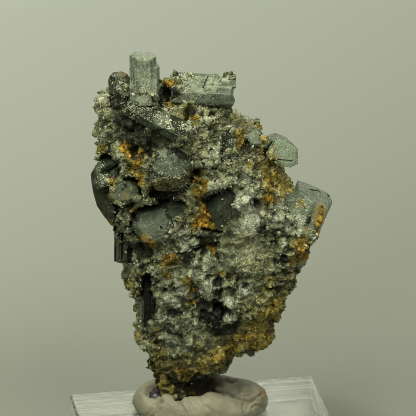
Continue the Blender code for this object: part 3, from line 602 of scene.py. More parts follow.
# lumps and hollows of the front skin: (u, v, radius in squares, height in mm)
RELIEF = [
    (208, 290, 11, 1.5), (181, 291, 9, 1.3), (229, 303, 8, 1.2), (228, 319, 8, 1.6), (175, 304, 7, 1.1),
    (165, 300, 7, 0.9), (187, 276, 8, 0.9), (243, 293, 9, 0.9), (104, 98, 9, 0.9), (165, 83, 7, 1.2),
    (178, 92, 7, 0.9), (187, 130, 9, 1.2), (208, 120, 10, 1.0), (205, 160, 12, 0.9), (243, 205, 10, 0.5),
    (250, 223, 10, 0.4), (283, 222, 14, 0.7), (300, 232, 10, 0.9), (222, 190, 9, 0.8), (215, 183, 7, 0.6),
    (175, 228, 9, 0.9), (192, 262, 9, 0.9), (232, 258, 14, 0.8), (256, 262, 12, 0.7), (160, 323, 8, 0.9),
    (152, 322, 6, 0.6), (190, 335, 12, 0.7), (262, 340, 9, 1.0), (240, 346, 7, 0.8), (262, 310, 9, 0.7),
    (128, 126, 8, 0.7), (112, 133, 7, 0.6), (125, 232, 5, 0.5), (144, 262, 8, 0.8), (133, 275, 7, 0.7),
    (250, 120, 7, 0.8), (268, 172, 9, 1.0), (282, 178, 6, 0.8), (183, 372, 9, 0.8), (170, 388, 7, 0.6),
    (215, 352, 8, 0.9), (200, 230, 7, 0.6), (255, 160, 8, 0.6), (197, 196, 5, 0.5),
    (164, 93, 8, -3.4), (191, 112, 8, -3.0), (207, 248, 8, -3.4), (133, 151, 6, -2.2), (158, 193, 9, -2.2),
    (176, 192, 7, -1.6), (221, 311, 9, -2.6), (203, 306, 9, -1.6), (217, 281, 5, -2.0), (191, 290, 5, -1.8),
    (230, 285, 4, -1.2), (284, 263, 6, -0.8), (247, 285, 4, -0.8), (190, 304, 5, -1.2), (234, 330, 7, -1.5),
    (207, 203, 6, -1.6), (199, 174, 5, -1.5), (224, 150, 4, -0.9), (116, 112, 6, -1.4), (128, 132, 6, -1.2),
    (108, 152, 4, -1.0), (130, 205, 6, -1.5), (138, 249, 8, -1.5), (192, 257, 6, -1.4), (168, 262, 6, -0.9),
    (248, 152, 4, -1.0), (290, 251, 5, -1.1), (172, 313, 6, -1.4), (200, 317, 9, -1.4), (222, 276, 4, -1.0),
    (240, 145, 5, -0.7), (183, 182, 5, -1.0), (212, 233, 4, -0.8), (150, 250, 6, -1.2), (180, 345, 6, -0.7),
]


# places where the skin is even, without lumps (u, v, radius)
FLAT = [
    (250, 262, 20), (262, 250, 17), (246, 240, 15), (234, 262, 13), (268, 268, 10), (250, 222, 12), (243, 206, 9),
    (218, 336, 14), (200, 338, 12), (185, 322, 9), (262, 322, 12),
]


def outline_distance(U, V, poly):
    """Signed distance in squares to the outline, positive inside (arrays)."""
    inside = np.zeros(len(U), bool)
    best = np.full(len(U), 1e9)
    n = len(poly)
    for i in range(n):
        x0, y0 = poly[i]
        x1, y1 = poly[(i + 1) % n]
        crosses = (y0 > V) != (y1 > V)
        with np.errstate(divide='ignore', invalid='ignore'):
            xi = (x1 - x0) * (V - y0) / (y1 - y0) + x0
        inside ^= crosses & (U < xi)
        dx, dy = x1 - x0, y1 - y0
        t = np.clip(((U - x0) * dx + (V - y0) * dy) / (dx * dx + dy * dy), 0, 1)
        best = np.minimum(best, np.hypot(U - x0 - t * dx, V - y0 - t * dy))
    return np.where(inside, best, -best)



# ------------------------------------------------------------------ stains, tones and painted shade
# places on the front (u, v, radius) of iron stain, of dark seams together with painted shade
# in the hollows, under the crystals and under the foot, and of pale mica, with a strength; further round the rock they
# follow noise
RUST = [
    (101, 97, 8, .15), (120, 75, 6, .36), (127, 76, 5, .42), (168, 82, 5, .8), (163, 73, 4, .6), (101, 148, 5, .6),
    (125, 147, 5, .9), (130, 153, 5, .9), (140, 155, 5, 1.), (137, 161, 5, .9), (132, 169, 4, .9), (127, 160, 5, .5),
    (170, 103, 4, .7), (186, 116, 3, .8), (194, 119, 3, .9), (187, 107, 4, .6), (112, 180, 4, .7), (113, 184, 3, .8),
    (140, 177, 6, .6), (141, 182, 5, .7), (155, 190, 5, .6), (163, 190, 6, .7), (135, 209, 4, 1.), (128, 206, 6, .5),
    (147, 236, 4, .8), (152, 244, 5, .9), (144, 232, 3, .7), (150, 250, 4, .7), (212, 247, 5, .8), (204, 219, 8, 1.),
    (196, 226, 4, .9), (210, 225, 5, .9), (199, 190, 5, .8), (205, 183, 4, 1.), (201, 200, 5, .8), (186, 178, 6, .5),
    (193, 180, 5, .8), (200, 174, 5, .6), (202, 210, 4, .7), (170, 260, 6, .6), (165, 265, 4, .6), (175, 258, 4, .7),
    (185, 260, 5, .4), (244, 123, 4, .8), (255, 122, 7, .5), (262, 127, 4, .7), (240, 134, 5, .6), (243, 145, 5, .8),
    (240, 140, 4, .6), (250, 140, 4, .5), (265, 148, 5, .39), (262, 160, 6, .33), (270, 170, 8, .39),
    (280, 167, 6, .5), (285, 166, 4, .44), (276, 178, 8, .39), (282, 185, 6, .39), (269, 199, 5, 1.),
    (258, 150, 5, .28), (248, 165, 6, .4), (275, 157, 4, .44), (303, 203, 6, .5), (322, 210, 7, .9),
    (320, 222, 5, .8), (322, 236, 4, .6), (301, 245, 9, .6), (303, 257, 7, .9), (292, 262, 4, .7), (286, 275, 8, .3),
    (270, 280, 6, .35), (276, 292, 7, .3), (268, 289, 5, .4), (262, 300, 8, .3), (276, 303, 7, .4),
    (262, 320, 11, .45), (250, 311, 6, .3), (245, 326, 8, .35), (265, 339, 11, .45), (254, 331, 10, .4),
    (236, 337, 8, .35), (240, 346, 7, .35), (274, 320, 6, .35), (134, 330, 6, .5), (138, 336, 5, .5),
    (130, 282, 6, .4), (154, 344, 6, .4), (160, 353, 6, .45), (148, 338, 5, .25), (165, 375, 6, .2),
    (181, 380, 8, .3), (196, 378, 6, .4), (174, 392, 7, .3), (190, 388, 5, .35), (216, 350, 8, .35),
    (205, 357, 9, .4), (229, 350, 6, .35), (190, 362, 9, .3), (200, 346, 6, .25), (192, 290, 4, .8),
    (192, 303, 3, .9), (166, 274, 4, .6), (188, 281, 5, .6), (175, 368, 8, .25), (212, 366, 7, .35),
    (222, 358, 6, .3), (182, 395, 6, .3), (150, 312, 4, .5), (157, 330, 4, .5), (222, 272, 3, .7), (240, 310, 4, .4),
    (225, 327, 4, .4), (140, 272, 4, .4), (126, 288, 5, .4), (170, 205, 3, .4),
]
# the next table: dark seams, and painted shade in the hollows, under the crystals and under the foot
SEAMS_AND_SHADE = [
    (116, 98, 5, .85), (117, 108, 5, .85), (119, 118, 6, .85), (127, 129, 7, .85), (138, 131, 8, .8), (148, 141, 6, .8),
    (263, 232, 4.5, 1.), (283, 271, 5, .7), (218, 293, 4, .8),
    (135, 124, 9, .7), (122, 121, 8, .75), (128, 138, 8, .7), (143, 139, 8, .7), (118, 104, 6, .6), (116, 92, 5, .6),
    (120, 132, 7, .5), (139, 259, 3, .95), (141, 267, 3, .95), (143, 275, 4, .95), (145, 284, 5, .95), (147, 294, 6, .95),
    (149, 304, 6, .95), (147, 314, 5, .95), (145, 323, 4, .9), (144, 332, 3, .8), (217, 318, 7, 1.), (226, 312, 5, 1.),
    (206, 305, 5, .8), (214, 329, 6, .8), (229, 328, 6, .9), (236, 322, 4, .9), (166, 91, 6, 1.), (174, 95, 5, .9),
    (204, 252, 4, 1.), (203, 242, 4, .9), (192, 314, 4, .6), (184, 300, 4, .5), (199, 288, 4, .6), (162, 313, 4, .6),
    (170, 327, 5, .6), (182, 327, 5, .6), (196, 340, 5, .5), (208, 344, 5, .5), (222, 343, 5, .6),
    (114, 90, 4, .8), (114, 103, 5, .6), (115, 117, 7, .6), (127, 131, 8, .6), (123, 94, 3, .8), (163, 93, 7, 1.),
    (171, 92, 4, .8), (191, 111, 7, .8), (132, 149, 5, 1.), (134, 157, 3, 1.), (108, 153, 3, .9), (112, 138, 5, .4),
    (104, 120, 4, .4), (180, 140, 4, .6), (150, 143, 5, .7), (157, 146, 3, .7), (193, 172, 6, .8), (199, 173, 4, .6),
    (155, 193, 8, .8), (170, 194, 8, .8), (161, 198, 8, .9), (182, 190, 6, .6), (130, 204, 6, .6), (146, 245, 5, .5),
    (131, 247, 6, .8), (143, 251, 7, .9), (150, 252, 5, .8), (203, 246, 5, 1.), (203, 255, 3, .9), (200, 239, 3, .7),
    (207, 198, 7, .8), (213, 206, 6, .8), (205, 230, 3, .8), (230, 235, 5, .6), (190, 257, 6, .8), (184, 259, 4, .6),
    (240, 119, 4, .8), (246, 128, 4, .7), (242, 148, 3, .8), (249, 150, 4, .8), (249, 156, 3, .6), (268, 173, 4, .6),
    (274, 182, 3, .9), (271, 193, 3, .6), (302, 207, 3, .7), (316, 216, 3, .5), (287, 237, 3, .9), (308, 238.5, 1.6, 1.),
    (292, 250, 5, .7), (296, 256, 3, .7), (258, 258, 3, .6), (284, 271, 5, .7), (297, 270, 3, .8), (235, 265, 2.2, .9),
    (226, 277, 2.2, .9), (235, 272, 2.5, .8), (248, 277, 2.5, .7), (217, 281, 5, .9), (255, 289, 3, .7), (275, 275, 3, .8),
    (197, 296, 3, .6), (192, 285, 4, .6), (214, 293, 3, .6), (191, 295, 4, .7), (173, 313, 6, .8), (180, 311, 4, .7),
    (202, 305, 7, .7), (215, 303, 5, .8), (207, 315, 7, .9), (221, 315, 6, 1.), (215, 322, 6, .8), (232, 328, 6, .9),
    (222, 331, 6, .9), (237, 317, 3, .7), (210, 331, 7, .5), (165, 330, 4, .6), (177, 332, 5, .7), (180, 320, 5, .5),
    (254, 320, 3, .6), (268, 319, 3, .6), (244, 334, 4, .6), (255, 338, 3, .5), (251, 347, 3, .6), (262, 296, 3, .5),
    (165, 357, 4, .5), (181, 366, 4, .7), (170, 375, 6, .7), (176, 378, 4, .7), (195, 385, 7, .8), (205, 382, 8, .8),
    (185, 393, 5, .8), (195, 365, 4, .5), (225, 362, 3, .7), (156, 380, 4, .8), (153, 387, 4, .8), (186, 345, 5, .5),
    (175, 347, 4, .4), (192, 350, 5, .5), (186, 340, 3, .5), (160, 300, 3, .5), (148, 292, 4, .4), (140, 258, 3, .7),
    (142, 268, 3, .6), (200, 141, 3, .6), (222, 140, 3, .5), (223, 160, 3, .6), (212, 235, 3, .5), (180, 238, 2.5, .5),
]
PALE = [
    (165, 310, 10, .5), (180, 338, 10, .45), (158, 290, 8, .5), (196, 268, 8, .5), (172, 328, 7, .4), (152, 274, 6, .4),
    (245, 203, 14, .78), (250, 222, 13, .70), (281, 212, 9, .6), (292, 225, 12, .6), (278, 222, 8, .6), (208, 290, 9, .8),
    (181, 290, 8, .7), (229, 302, 7, .6), (228, 318, 7, .7), (175, 303, 6, .6), (166, 300, 7, .6), (187, 277, 7, .5),
    (245, 291, 8, .7), (104, 98, 7, .6), (150, 92, 8, .4), (163, 120, 9, .5), (187, 127, 8, .5), (204, 117, 8, .4),
    (206, 158, 14, .4), (215, 190, 8, .7), (190, 242, 9, .6), (180, 237, 6, .5), (205, 265, 9, .5), (173, 228, 9, .3),
    (190, 195, 5, .5), (230, 130, 7, .3), (240, 245, 16, .25), (222, 262, 10, .3), (165, 345, 6, .3), (170, 340, 7, .5),
    (235, 180, 6, .4), (200, 235, 6, .4), (293, 200, 5, .5), (165, 285, 6, .4), (200, 272, 6, .5), (240, 232, 10, .3),
    (158, 322, 7, .4), (175, 222, 5, .3), (285, 240, 6, .2), (195, 325, 12, .1), (247, 265, 9, .2), (97, 100, 5, .5),
    (272, 170, 13, .5), (280, 182, 8, .4), (130, 96, 5, .4), (118, 86, 6, .5), (147, 90, 5, .4), (104, 168, 7, .5), (105, 178, 6, .5), (182, 95, 4, .5),
]


def zones(co, n_seed=0):
    """Rust, dark and pale strengths at points (mm)."""
    u, v, depth = grid_of(co)
    mid = depth_for_y(u, v, MID_Y)
    front = smooth(mid - depth, -2.5, 2.5)
    wob_u = u + 3.0 * vnoise(co, 1.3, 61) + 1.6 * vnoise(co, 0.6, 62)
    wob_v = v + 3.0 * vnoise(co, 1.3, 63) + 1.6 * vnoise(co, 0.6, 64)
    out = []
    for table in (RUST, SEAMS_AND_SHADE, PALE):
        acc = np.zeros(len(co))
        for zu, zv, zr, zs in table:
            d = np.hypot(wob_u - zu, wob_v - zv) / (zr * ((1.25 if zs >= 0.6 else 1.0) if table is RUST else 1.15 if table is SEAMS_AND_SHADE else 1.3))
            acc = np.maximum(acc, zs * (1 - smooth(d, 0.55, 1.15)))
        out.append(acc * front)
    rust, dark, pale = out
    back = 1 - front
    rust = np.maximum(rust, back * smooth(fbm(co, 9.0, 71) + 0.25 * vnoise(co, 1.5, 72) - 0.002 * (co[:, 2] - 60), 0.08, 0.45) * 0.85)
    dark = np.maximum(dark, back * smooth(fbm(co, 4.0, 75) + 0.3 * vnoise(co, 1.2, 76), 0.30, 0.62) * 0.75)
    pale = np.maximum(pale, back * smooth(fbm(co, 8.0, 79), 0.05, 0.4) * 0.6)
    rust = np.maximum(rust, 0.16 * smooth(fbm(co, 6.0, 91), 0.0, 0.5))
    # the foot and the lower right are golden throughout
    foot = np.maximum(smooth(v, 345, 372) * 0.62, smooth(0.9 * u + v, 530, 556) * smooth(v, 262, 305) * 0.60)
    rust = np.maximum(rust, foot * front * (0.85 + 0.45 * vnoise(co, 1.4, 92)))
    flank = smooth(u - 0.25 * (v - 150), 246, 262) * smooth(v, 116, 128) * (1 - smooth(v, 192, 206))
    rust = np.maximum(rust, flank * front * (0.50 + 0.34 * vnoise(co, 1.6, 93)))
    pale = np.maximum(pale, flank * front * 0.75)
    # painted shade: darker in patches toward the bottom of the foot, above the putty
    dark = np.maximum(dark, smooth(v, 358, 384) * front * smooth(vnoise(co, 1.8, 94) + 0.5 * vnoise(co, 0.8, 95), -0.30, 0.30) * 0.92)
    return rust, dark, pale


def paint_zones(ob, crevice_shade=0.0, cell=0.5):
    co = coords(ob.data)
    rust, dark, pale = zones(co)
    # painted shade from the crevices darkens the rock
    dark = np.clip(np.maximum(dark, crevice_shade * 0.8), 0, 1)
    paint(ob.data, "zone", np.stack([rust, dark, pale, np.broadcast_to(cell, len(co))], 1))



# ================================================================== crystals
CLEAR, CLOUDY, ETCHED, BLACK, VIOLET, DIM = MAT_CLEAR, MAT_BERYL, MAT_ETCH, MAT_SCHORL, MAT_FLUOR, MAT_DIM
PALER = MAT_PALE
# name: (new name, material, way the crystal grew, fineness mm, striae mm, etch mm)
CRYSTALS = {
    "aquamarine_tall_prism": ("tall_prism", PALER, (0, 0, 1), 0.20, 0.035, 0.03),
    "aquamarine_corner": ("corner_crystal", ETCHED, (-0.04, 0, 1), 0.22, 0.05, 0.09),
    "aquamarine_top_prism": ("top_prism", CLOUDY, (1.0, -0.07, -0.03), 0.24, 0.045, 0.05),
    "aquamarine_diagonal_prism": ("diagonal_prism", ETCHED, (0.86, -0.22, -0.46), 0.24, 0.05, 0.06),
    "aquamarine_round_prism": ("round_prism", ETCHED, (0, -0.56, 0.83), 0.26, 0.05, 0.12),
    "aquamarine_left_edge": ("left_edge_crystals", DIM, (-0.25, -0.15, 1), 0.22, 0.05, 0.08),
    "aquamarine_left_facet": ("left_facet_crystal", DIM, (0.1, -0.95, 0.3), 0.22, 0.04, 0.06),
    "aquamarine_mid_left": ("mid_left_crystal", DIM, (0.94, -0.3, 0.15), 0.26, 0.05, 0.05),
    "aquamarine_lower_left": ("lower_left_prism", DIM, (0, -0.05, 1), 0.20, 0.05, 0.03),
    "aquamarine_center": ("center_prism", DIM, (0.46, 0.25, 0.85), 0.22, 0.05, 0.04),
    "aquamarine_slab": ("slab_prism", ETCHED, (0.02, 0.1, 1), 0.20, 0.05, 0.05),
    "aquamarine_crescent": ("crescent_prism", ETCHED, (0, -0.91, 0.4), 0.20, 0.04, 0.06),
    "aquamarine_shoulder": ("shoulder_prism", CLOUDY, (0.08, -0.95, 0.28), 0.20, 0.04, 0.03),
    "aquamarine_right_hex": ("right_hex_prism", CLEAR, (0.19, -0.96, 0.17), 0.20, 0.025, 0.015),
    "aquamarine_right_prism": ("right_prism", CLEAR, (0.40, 0.0, 0.92), 0.24, 0.04, 0.03),
    "aquamarine_right_edge": ("right_edge_crystal", CLEAR, (0.14, -0.97, 0.18), 0.18, 0.03, 0.02),
    "aquamarine_right_lower": ("right_lower_crystal", CLOUDY, (0.23, -0.96, 0.12), 0.18, 0.03, 0.02),
    "aquamarine_underside": ("underside_crystal", CLEAR, (0, -0.96, -0.27), 0.17, 0.02, 0.02),
    "aquamarine_foot": ("foot_crystal", CLEAR, (0, -0.96, -0.25), 0.20, 0.03, 0.03),
    "aquamarine_foot_left": ("foot_left_crystal", ETCHED, (-0.2, -0.97, -0.1), 0.18, 0.03, 0.05),
    "aquamarine_back_large": ("back_prism", CLOUDY, (0.45, 0.16, 0.88), 0.22, 0.04, 0.03),
    "aquamarine_back_small": ("back_small_prism", CLEAR, (0.6, 0.62, 0.3), 0.20, 0.03, 0.02),
    "schorl_stub": ("schorl_stub_needle", BLACK, (0.55, -0.5, 0.67), 0.13, 0.04, 0.02),
    "schorl_left_needle": ("schorl_left_crystal", BLACK, (0.8, 0.1, 0.58), 0.11, 0.03, 0.02),
    "schorl_blob": ("schorl_blob_crystal", BLACK, (0, -0.96, 0.27), 0.15, 0.05, 0.06),
    "schorl_block": ("schorl_block_crystal", BLACK, (0, -0.97, 0.2), 0.15, 0.05, 0.06),
    "schorl_long_prism": ("schorl_long_crystal", BLACK, (0, 0.1, 1), 0.17, 0.06, 0.05),
    "schorl_center_needle": ("schorl_center_crystal", BLACK, (1, 0, -0.14), 0.12, 0.03, 0.02),
    "schorl_low_needle": ("schorl_low_crystal", BLACK, (0.86, 0.2, 0.5), 0.11, 0.03, 0.02),
    "schorl_patch_a": ("schorl_patch_crystal_a", BLACK, (0, -0.95, 0.3), 0.15, 0.05, 0.09),
    "schorl_patch_b": ("schorl_patch_crystal_b", BLACK, (0, -0.95, 0.3), 0.15, 0.05, 0.09),
    "schorl_patch_c": ("schorl_patch_crystal_c", BLACK, (0, -0.95, 0.3), 0.16, 0.05, 0.09),
    "schorl_patch_d": ("schorl_patch_crystal_d", BLACK, (0, -0.95, 0.3), 0.16, 0.05, 0.09),
    "schorl_top_needle": ("schorl_top_crystal", BLACK, (0.52, -0.1, 0.85), 0.11, 0.03, 0.02),
    "schorl_back": ("schorl_back_crystal", BLACK, (-0.55, 0.45, 0.6), 0.17, 0.05, 0.04),
    "fluorite_foot": ("fluorite_foot_crystal", VIOLET, (-0.2, -0.97, 0.1), 0.16, 0.0, 0.03),
    "fluorite_back": ("fluorite_back_crystal", VIOLET, (0.1, 0.9, 0.15), 0.18, 0.0, 0.03),
}

# tones of the crystal faces on the front: pale crust, stain and shade
C_PALE = [
    (122, 88, 5, 1.), (126, 93, 4, .9),
    (143, 72, 8, .25), (150, 88, 10, .7), (146, 95, 10, .7), (128, 84, 6, .6), (118, 87, 6, .5), (180, 78, 8, .6),
    (195, 84, 7, .5), (212, 84, 7, .7), (226, 75, 7, 1.), (200, 91, 4, .8), (163, 120, 9, .6), (150, 103, 8, .3),
    (163, 152, 6, .8), (170, 160, 6, .5), (172, 170, 6, .3), (100, 166, 4, .9), (104, 178, 7, .8), (97, 172, 5, .5),
    (135, 225, 4, .7), (145, 226, 3, .8), (296, 232, 9, .6), (303, 203, 6, .6), (300, 222, 9, .7), (290, 215, 8, .8),
    (280, 210, 6, .8), (312, 230, 7, .5), (222, 185, 8, .6), (246, 184, 5, .8), (233, 140, 4, .4), (226, 155, 3, .4),
    (285, 290, 4, .3), (215, 372, 7, .5), (222, 368, 5, .5), (270, 153, 5, .35), (167, 245, 5, .3),
]
C_RUST = [
    (145, 238, 5, .7), (151, 244, 5, .7), (131, 212, 3, .6), (112, 196, 4, .3), (125, 197, 4, .4),
    (321, 209, 6, .9), (319, 219, 6, .9), (317, 229, 6, .9), (314, 239, 6, .9), (303, 258, 7, .9), (275, 158, 4, .8),
    (275, 147, 2, .8), (127, 75, 3, .6), (120, 73, 3, .5), (290, 284, 5, .5), (286, 290, 4, .3), (282, 168, 4, .8),
    (113, 182, 4, .8), (98, 196, 5, .08), (112, 224, 4, .5), (103, 205, 6, .08), (165, 186, 9, .3), (300, 203, 5, .4),
    (217, 363, 7, .8), (224, 358, 4, .6), (250, 352, 3, .3), (176, 181, 5, .3), (150, 186, 6, .3), (166, 84, 5, .6),
    (310, 243, 7, .6), (306, 230, 6, .3), (108, 200, 5, .08),
]
C_DARK = [
    (283, 163, 12, .24), (206, 97, 12, .22),
    (150, 211, 9, .45), (172, 208, 9, .55), (136, 216, 6, .35), (156, 236, 6, .35), (118, 202, 7, .4),
    (116, 92, 4, .7), (116, 100, 6, .5), (218, 108, 18, .55), (205, 107, 6, .6), (178, 134, 4, .6), (150, 134, 16, .25),
    (136, 140, 10, .4), (130, 123, 6, .5), (165, 190, 22, .55), (184, 169, 6, .3), (158, 166, 6, .25), (98, 206, 7, .5),
    (103, 188, 5, .3), (176, 208, 9, .6), (210, 200, 9, .95), (206, 206, 6, .8), (220, 195, 9, .7), (232, 190, 6, .5),
    (228, 132, 7, .6), (222, 142, 3, .6), (241, 173, 5, .6), (252, 183, 4, .7), (262, 133, 3, .5), (257, 141, 4, .2),
    (281, 196, 8, .6), (290, 198, 8, .5), (284, 206, 7, .45), (117, 226, 6, .8), (131, 245, 4, .8), (121, 245, 3, .5), (295, 286, 3, .5),
    (153, 366, 8, .5), (228, 362, 2.5, .9), (225, 370, 2, .6), (123, 258, 5, .3),
]


def crystal_zones(co, weight=1.0):
    u, v, depth = grid_of(co)
    mid = depth_for_y(u, v, MID_Y)
    front = smooth(mid - depth, -3.0, 1.0)
    wu = u + 1.7 * vnoise(co, 0.9, 161) + 0.9 * vnoise(co, 0.4, 162)
    wv = v + 1.7 * vnoise(co, 0.9, 163) + 0.9 * vnoise(co, 0.4, 164)
    res = []
    for table in (C_RUST, C_DARK, C_PALE):
        acc = np.zeros(len(co))
        for zu, zv, zr, zs in table:
            d = np.hypot(wu - zu, wv - zv) / (zr * 1.2)
            acc = np.maximum(acc, zs * (1 - smooth(d, 0.55, 1.15)))
        res.append(acc * front)
    return res


def clean_source(node):
    """The CAD crystal with its doubled corners merged and flat faces joined."""
    bm = bmesh.new()
    bm.from_mesh(NODES[node].data)
    bmesh.ops.remove_doubles(bm, verts=bm.verts, dist=2e-6)
    bmesh.ops.dissolve_limit(bm, angle_limit=math.radians(1.5), verts=bm.verts, edges=bm.edges)
    me = bpy.data.meshes.new(node + "_src")
    bm.to_mesh(me)
    bm.free()
    ob = bpy.data.objects.new(node + "_src", me)
    bpy.context.scene.collection.objects.link(ob)
    return ob


def crisp_mesh(src, label, edge_mm, bevel_mm):
    """Flat faces kept flat: narrow worn edges, then evenly divided triangles."""
    bm = bmesh.new()
    bm.from_mesh(src.data)
    sharp = [e for e in bm.edges if len(e.link_faces) == 2 and e.calc_face_angle(0.0) > math.radians(12)]
    bmesh.ops.bevel(bm, geom=sharp, offset=bevel_mm * MM, offset_type='OFFSET', segments=2, profile=0.6,
                    affect='EDGES', clamp_overlap=True)
    bmesh.ops.remove_doubles(bm, verts=bm.verts, dist=1e-6)
    bmesh.ops.triangulate(bm, faces=bm.faces)
    for _ in range(7):
        long_ones = [e for e in bm.edges if e.calc_length() > edge_mm * MM * 1.5]
        if not long_ones:
            break
        bmesh.ops.subdivide_edges(bm, edges=long_ones, cuts=1, use_grid_fill=False)
        bmesh.ops.triangulate(bm, faces=bm.faces)
    whole = all(len(e.link_faces) == 2 for e in bm.edges)
    me = bpy.data.meshes.new(label)
    bm.to_mesh(me)
    bm.free()
    return me if whole else None


crystal_objects = {}
for index, (node, (label, mat, axis, size, striae, etch)) in enumerate(CRYSTALS.items()):
    src = clean_source(node)
    me = crisp_mesh(src, label, 0.42, 0.08 if mat is ETCHED else 0.10) if mat in (CLEAR, CLOUDY, ETCHED, DIM, PALER) else None
    crisp = me is not None
    if not crisp:
        me = voxel_mesh(src, size * 1.22, label)
    bpy.data.objects.remove(src, do_unlink=True)
    co, no = coords(me), normals(me)
    lo, hi = co.min(0), co.max(0)
    z = np.array(axis, float)
    z /= np.linalg.norm(z)
    x = np.cross(z, [0.13, 0.91, 0.39])
    x /= np.linalg.norm(x)
    y = np.cross(z, x)
    local = (co - (lo + hi) / 2) @ np.stack([x, y, z], 1)
    side = 1 - smooth(np.abs(no @ z), 0.5, 0.85)      # faces along the length
    thin = vnoise(local * np.array([1, 1, 0.05]), 0.42, 5 + index) * 0.6 \
        + vnoise(local * np.array([1, 1, 0.03]), 1.1, 9 + index) * 0.9
    e1, e2, er = worley(local * np.array([1, 1, 0.6]), 0.95, 40 + index)
    skin = vnoise(local, 0.6, 50 + index) * 0.5 + (0.5 - e1) * 0.9 + (er[:, 0] - 0.5) * 0.5
    move = striae * thin * side + etch * skin
    if node.startswith(("schorl_patch", "schorl_b")):
        move += 0.28 * vnoise(co, 0.9, 60 + index) + 0.20 * vnoise(co, 0.45, 61 + index) - 0.10
    if crisp:
        move *= 0.8 if mat in (ETCHED, DIM) else 0.5
    co = co + no * (move - (0.02 if crisp else 0.05))[:, None]
    set_coords(me, co)
    if crisp:
        me.shade_flat()
        me.set_sharp_from_angle(angle=math.radians(20))
        me.shade_smooth()
        me.set_sharp_from_angle(angle=math.radians(24))
    else:
        me.shade_smooth()
    vector_attribute(me, "cx", local + index * 3.7)
    if mat in (CLEAR, CLOUDY, ETCHED, DIM, PALER):
        rust, dark, pale = crystal_zones(co)
        paint(me, "zone", np.stack([rust, dark, pale, np.full(len(co), 0.5)], 1))
    ob = bpy.data.objects.new(label, me)
    bpy.context.scene.collection.objects.link(ob)
    me.materials.clear()
    me.materials.append(mat)
    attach(ob, "root")
    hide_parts(node)
    crystal_objects[node] = ob

vis_tree = tree_of(crystal_objects.values())

# ================================================================== the rock
# crust grown over the crystals: (u, v, radius mm)
CRUST = [
    (141, 92, 1.0), (146, 91, 1.1), (151, 94, 1.1), (156, 96, 1.0), (136, 95, 0.8), (184, 79, 1.0), (190, 77, 0.9),
    (178, 83, 1.0), (196, 79, 0.7), (211, 85, 1.0), (215, 80, 0.9), (224, 77, 1.0), (229, 74, 0.9), (232, 79, 0.7),
    (218, 90, 0.8), (181, 90, 1.1), (178, 96, 1.2), (184, 106, 1.1), (181, 124, 1.1), (186, 128, 1.2), (192, 131, 1.0),
    (197, 128, 0.8), (160, 182, 1.2), (171, 184, 1.2), (183, 182, 1.0), (150, 186, 1.3), (143, 182, 1.1),
    (153, 178, 0.8), (146, 191, 1.2), (189, 175, 0.7), (120, 212, 1.2), (117, 221, 1.1), (136, 211, 0.9),
    (129, 208, 0.9), (104, 190, 1.0), (112, 190, 0.9), (178, 225, 1.2), (184, 220, 1.1), (186, 230, 1.2),
    (180, 234, 1.2), (172, 238, 1.2), (164, 241, 1.1), (150, 241, 1.0), (143, 225, 0.5), (118, 232, 1.0),
    (275, 212, 1.1), (286, 216, 1.1), (301, 202, 0.8), (305, 208, 0.9), (290, 221, 1.2),
    (304, 223, 1.1), (297, 213, 1.0), (322, 207, 0.7), (320, 213, 0.8), (319, 219, 0.8), (317, 226, 0.8),
    (315, 233, 0.8), (313, 240, 0.8), (314, 228, 1.0), (318, 237, 1.0), (310, 236, 1.1),
    (300, 232, 1.2), (311, 217, 0.7), (296, 226, 1.0), (250, 131, 0.7), (262, 142, 0.9), (243, 137, 0.8),
    (270, 152, 0.9), (274, 158, 0.8), (279, 165, 0.8), (225, 130, 0.7), (229, 152, 0.8), (234, 158, 0.8),
    (226, 164, 0.9), (243, 183, 0.8), (255, 190, 0.9), (224, 185, 0.9), (229, 181, 0.9), (222, 200, 0.6),
    (128, 208, 1.0, 1.8), (134, 206, 1.0, 1.8), (141, 204, 1.0, 1.8), (148, 202, 0.9, 1.8), (155, 200, 0.8, 1.6),
    (101, 158, 0.9, 1.2), (106, 155, 0.9, 1.2), (111, 158, 0.8, 1.0), (115, 180, 0.8, 1.0), (120, 179, 0.8, 1.2),
    (125, 183, 0.8, 1.2), (163, 198, 0.7, 1.4), (110, 183, 0.8), (117, 184, 0.8),
    (104, 186, 0.6), (122, 190, 0.7), (131, 190, 0.7), (163, 204, 0.6), (171, 204, 0.5), (123, 216, 0.8), (122, 226, 0.8),
    (112, 96, 0.9), (117, 106, 0.9), (124, 88, 1.0), (121, 84, 0.7), (128, 92, 0.9), (166, 76, 1.2), (170, 81, 1.2),
    (174, 75, 1.2), (164, 81, 1.0), (160, 73, 0.9), (176, 82, 1.1), (155, 379, 0.9, 1.0), (159, 383, 0.9, 1.0), (141, 292, 0.6),
    (152, 298, 0.6), (151, 310, 0.7), (142, 306, 0.6), (143, 320, 0.7), (149, 322, 0.6), (145, 290, 0.4), (153, 374, 0.7), (158, 368, 0.8), (222, 366, 0.8), (212, 369, 0.7),
]


def cad_tree_with_names(names):
    verts, polys, owner, base = [], [], [], 0
    for name in names:
        me = NODES[name].data
        verts.extend(map(tuple, coords(me)))
        for p in me.polygons:
            polys.append([i + base for i in p.vertices])
            owner.append(name)
        base += len(me.vertices)
    return BVHTree.FromPolygons(verts, polys), owner


front_names = ["matrix"] + [n for n in CRYSTALS if not n.endswith(("_back", "back_large", "back_small"))]
cad_tree, cad_owner = cad_tree_with_names(front_names)
EYE_V = Vector(EYE)


# crystals whose whole front is bare of crust
BARE = ("aquamarine_lower_left", "aquamarine_left_edge", "aquamarine_left_facet", "aquamarine_mid_left",
        "aquamarine_round_prism", "aquamarine_diagonal_prism", "aquamarine_center", "aquamarine_slab",
        "aquamarine_crescent", "schorl_blob", "schorl_block", "schorl_stub", "schorl_long_prism", "schorl_patch_a",
        "schorl_patch_b", "schorl_patch_c", "schorl_patch_d")


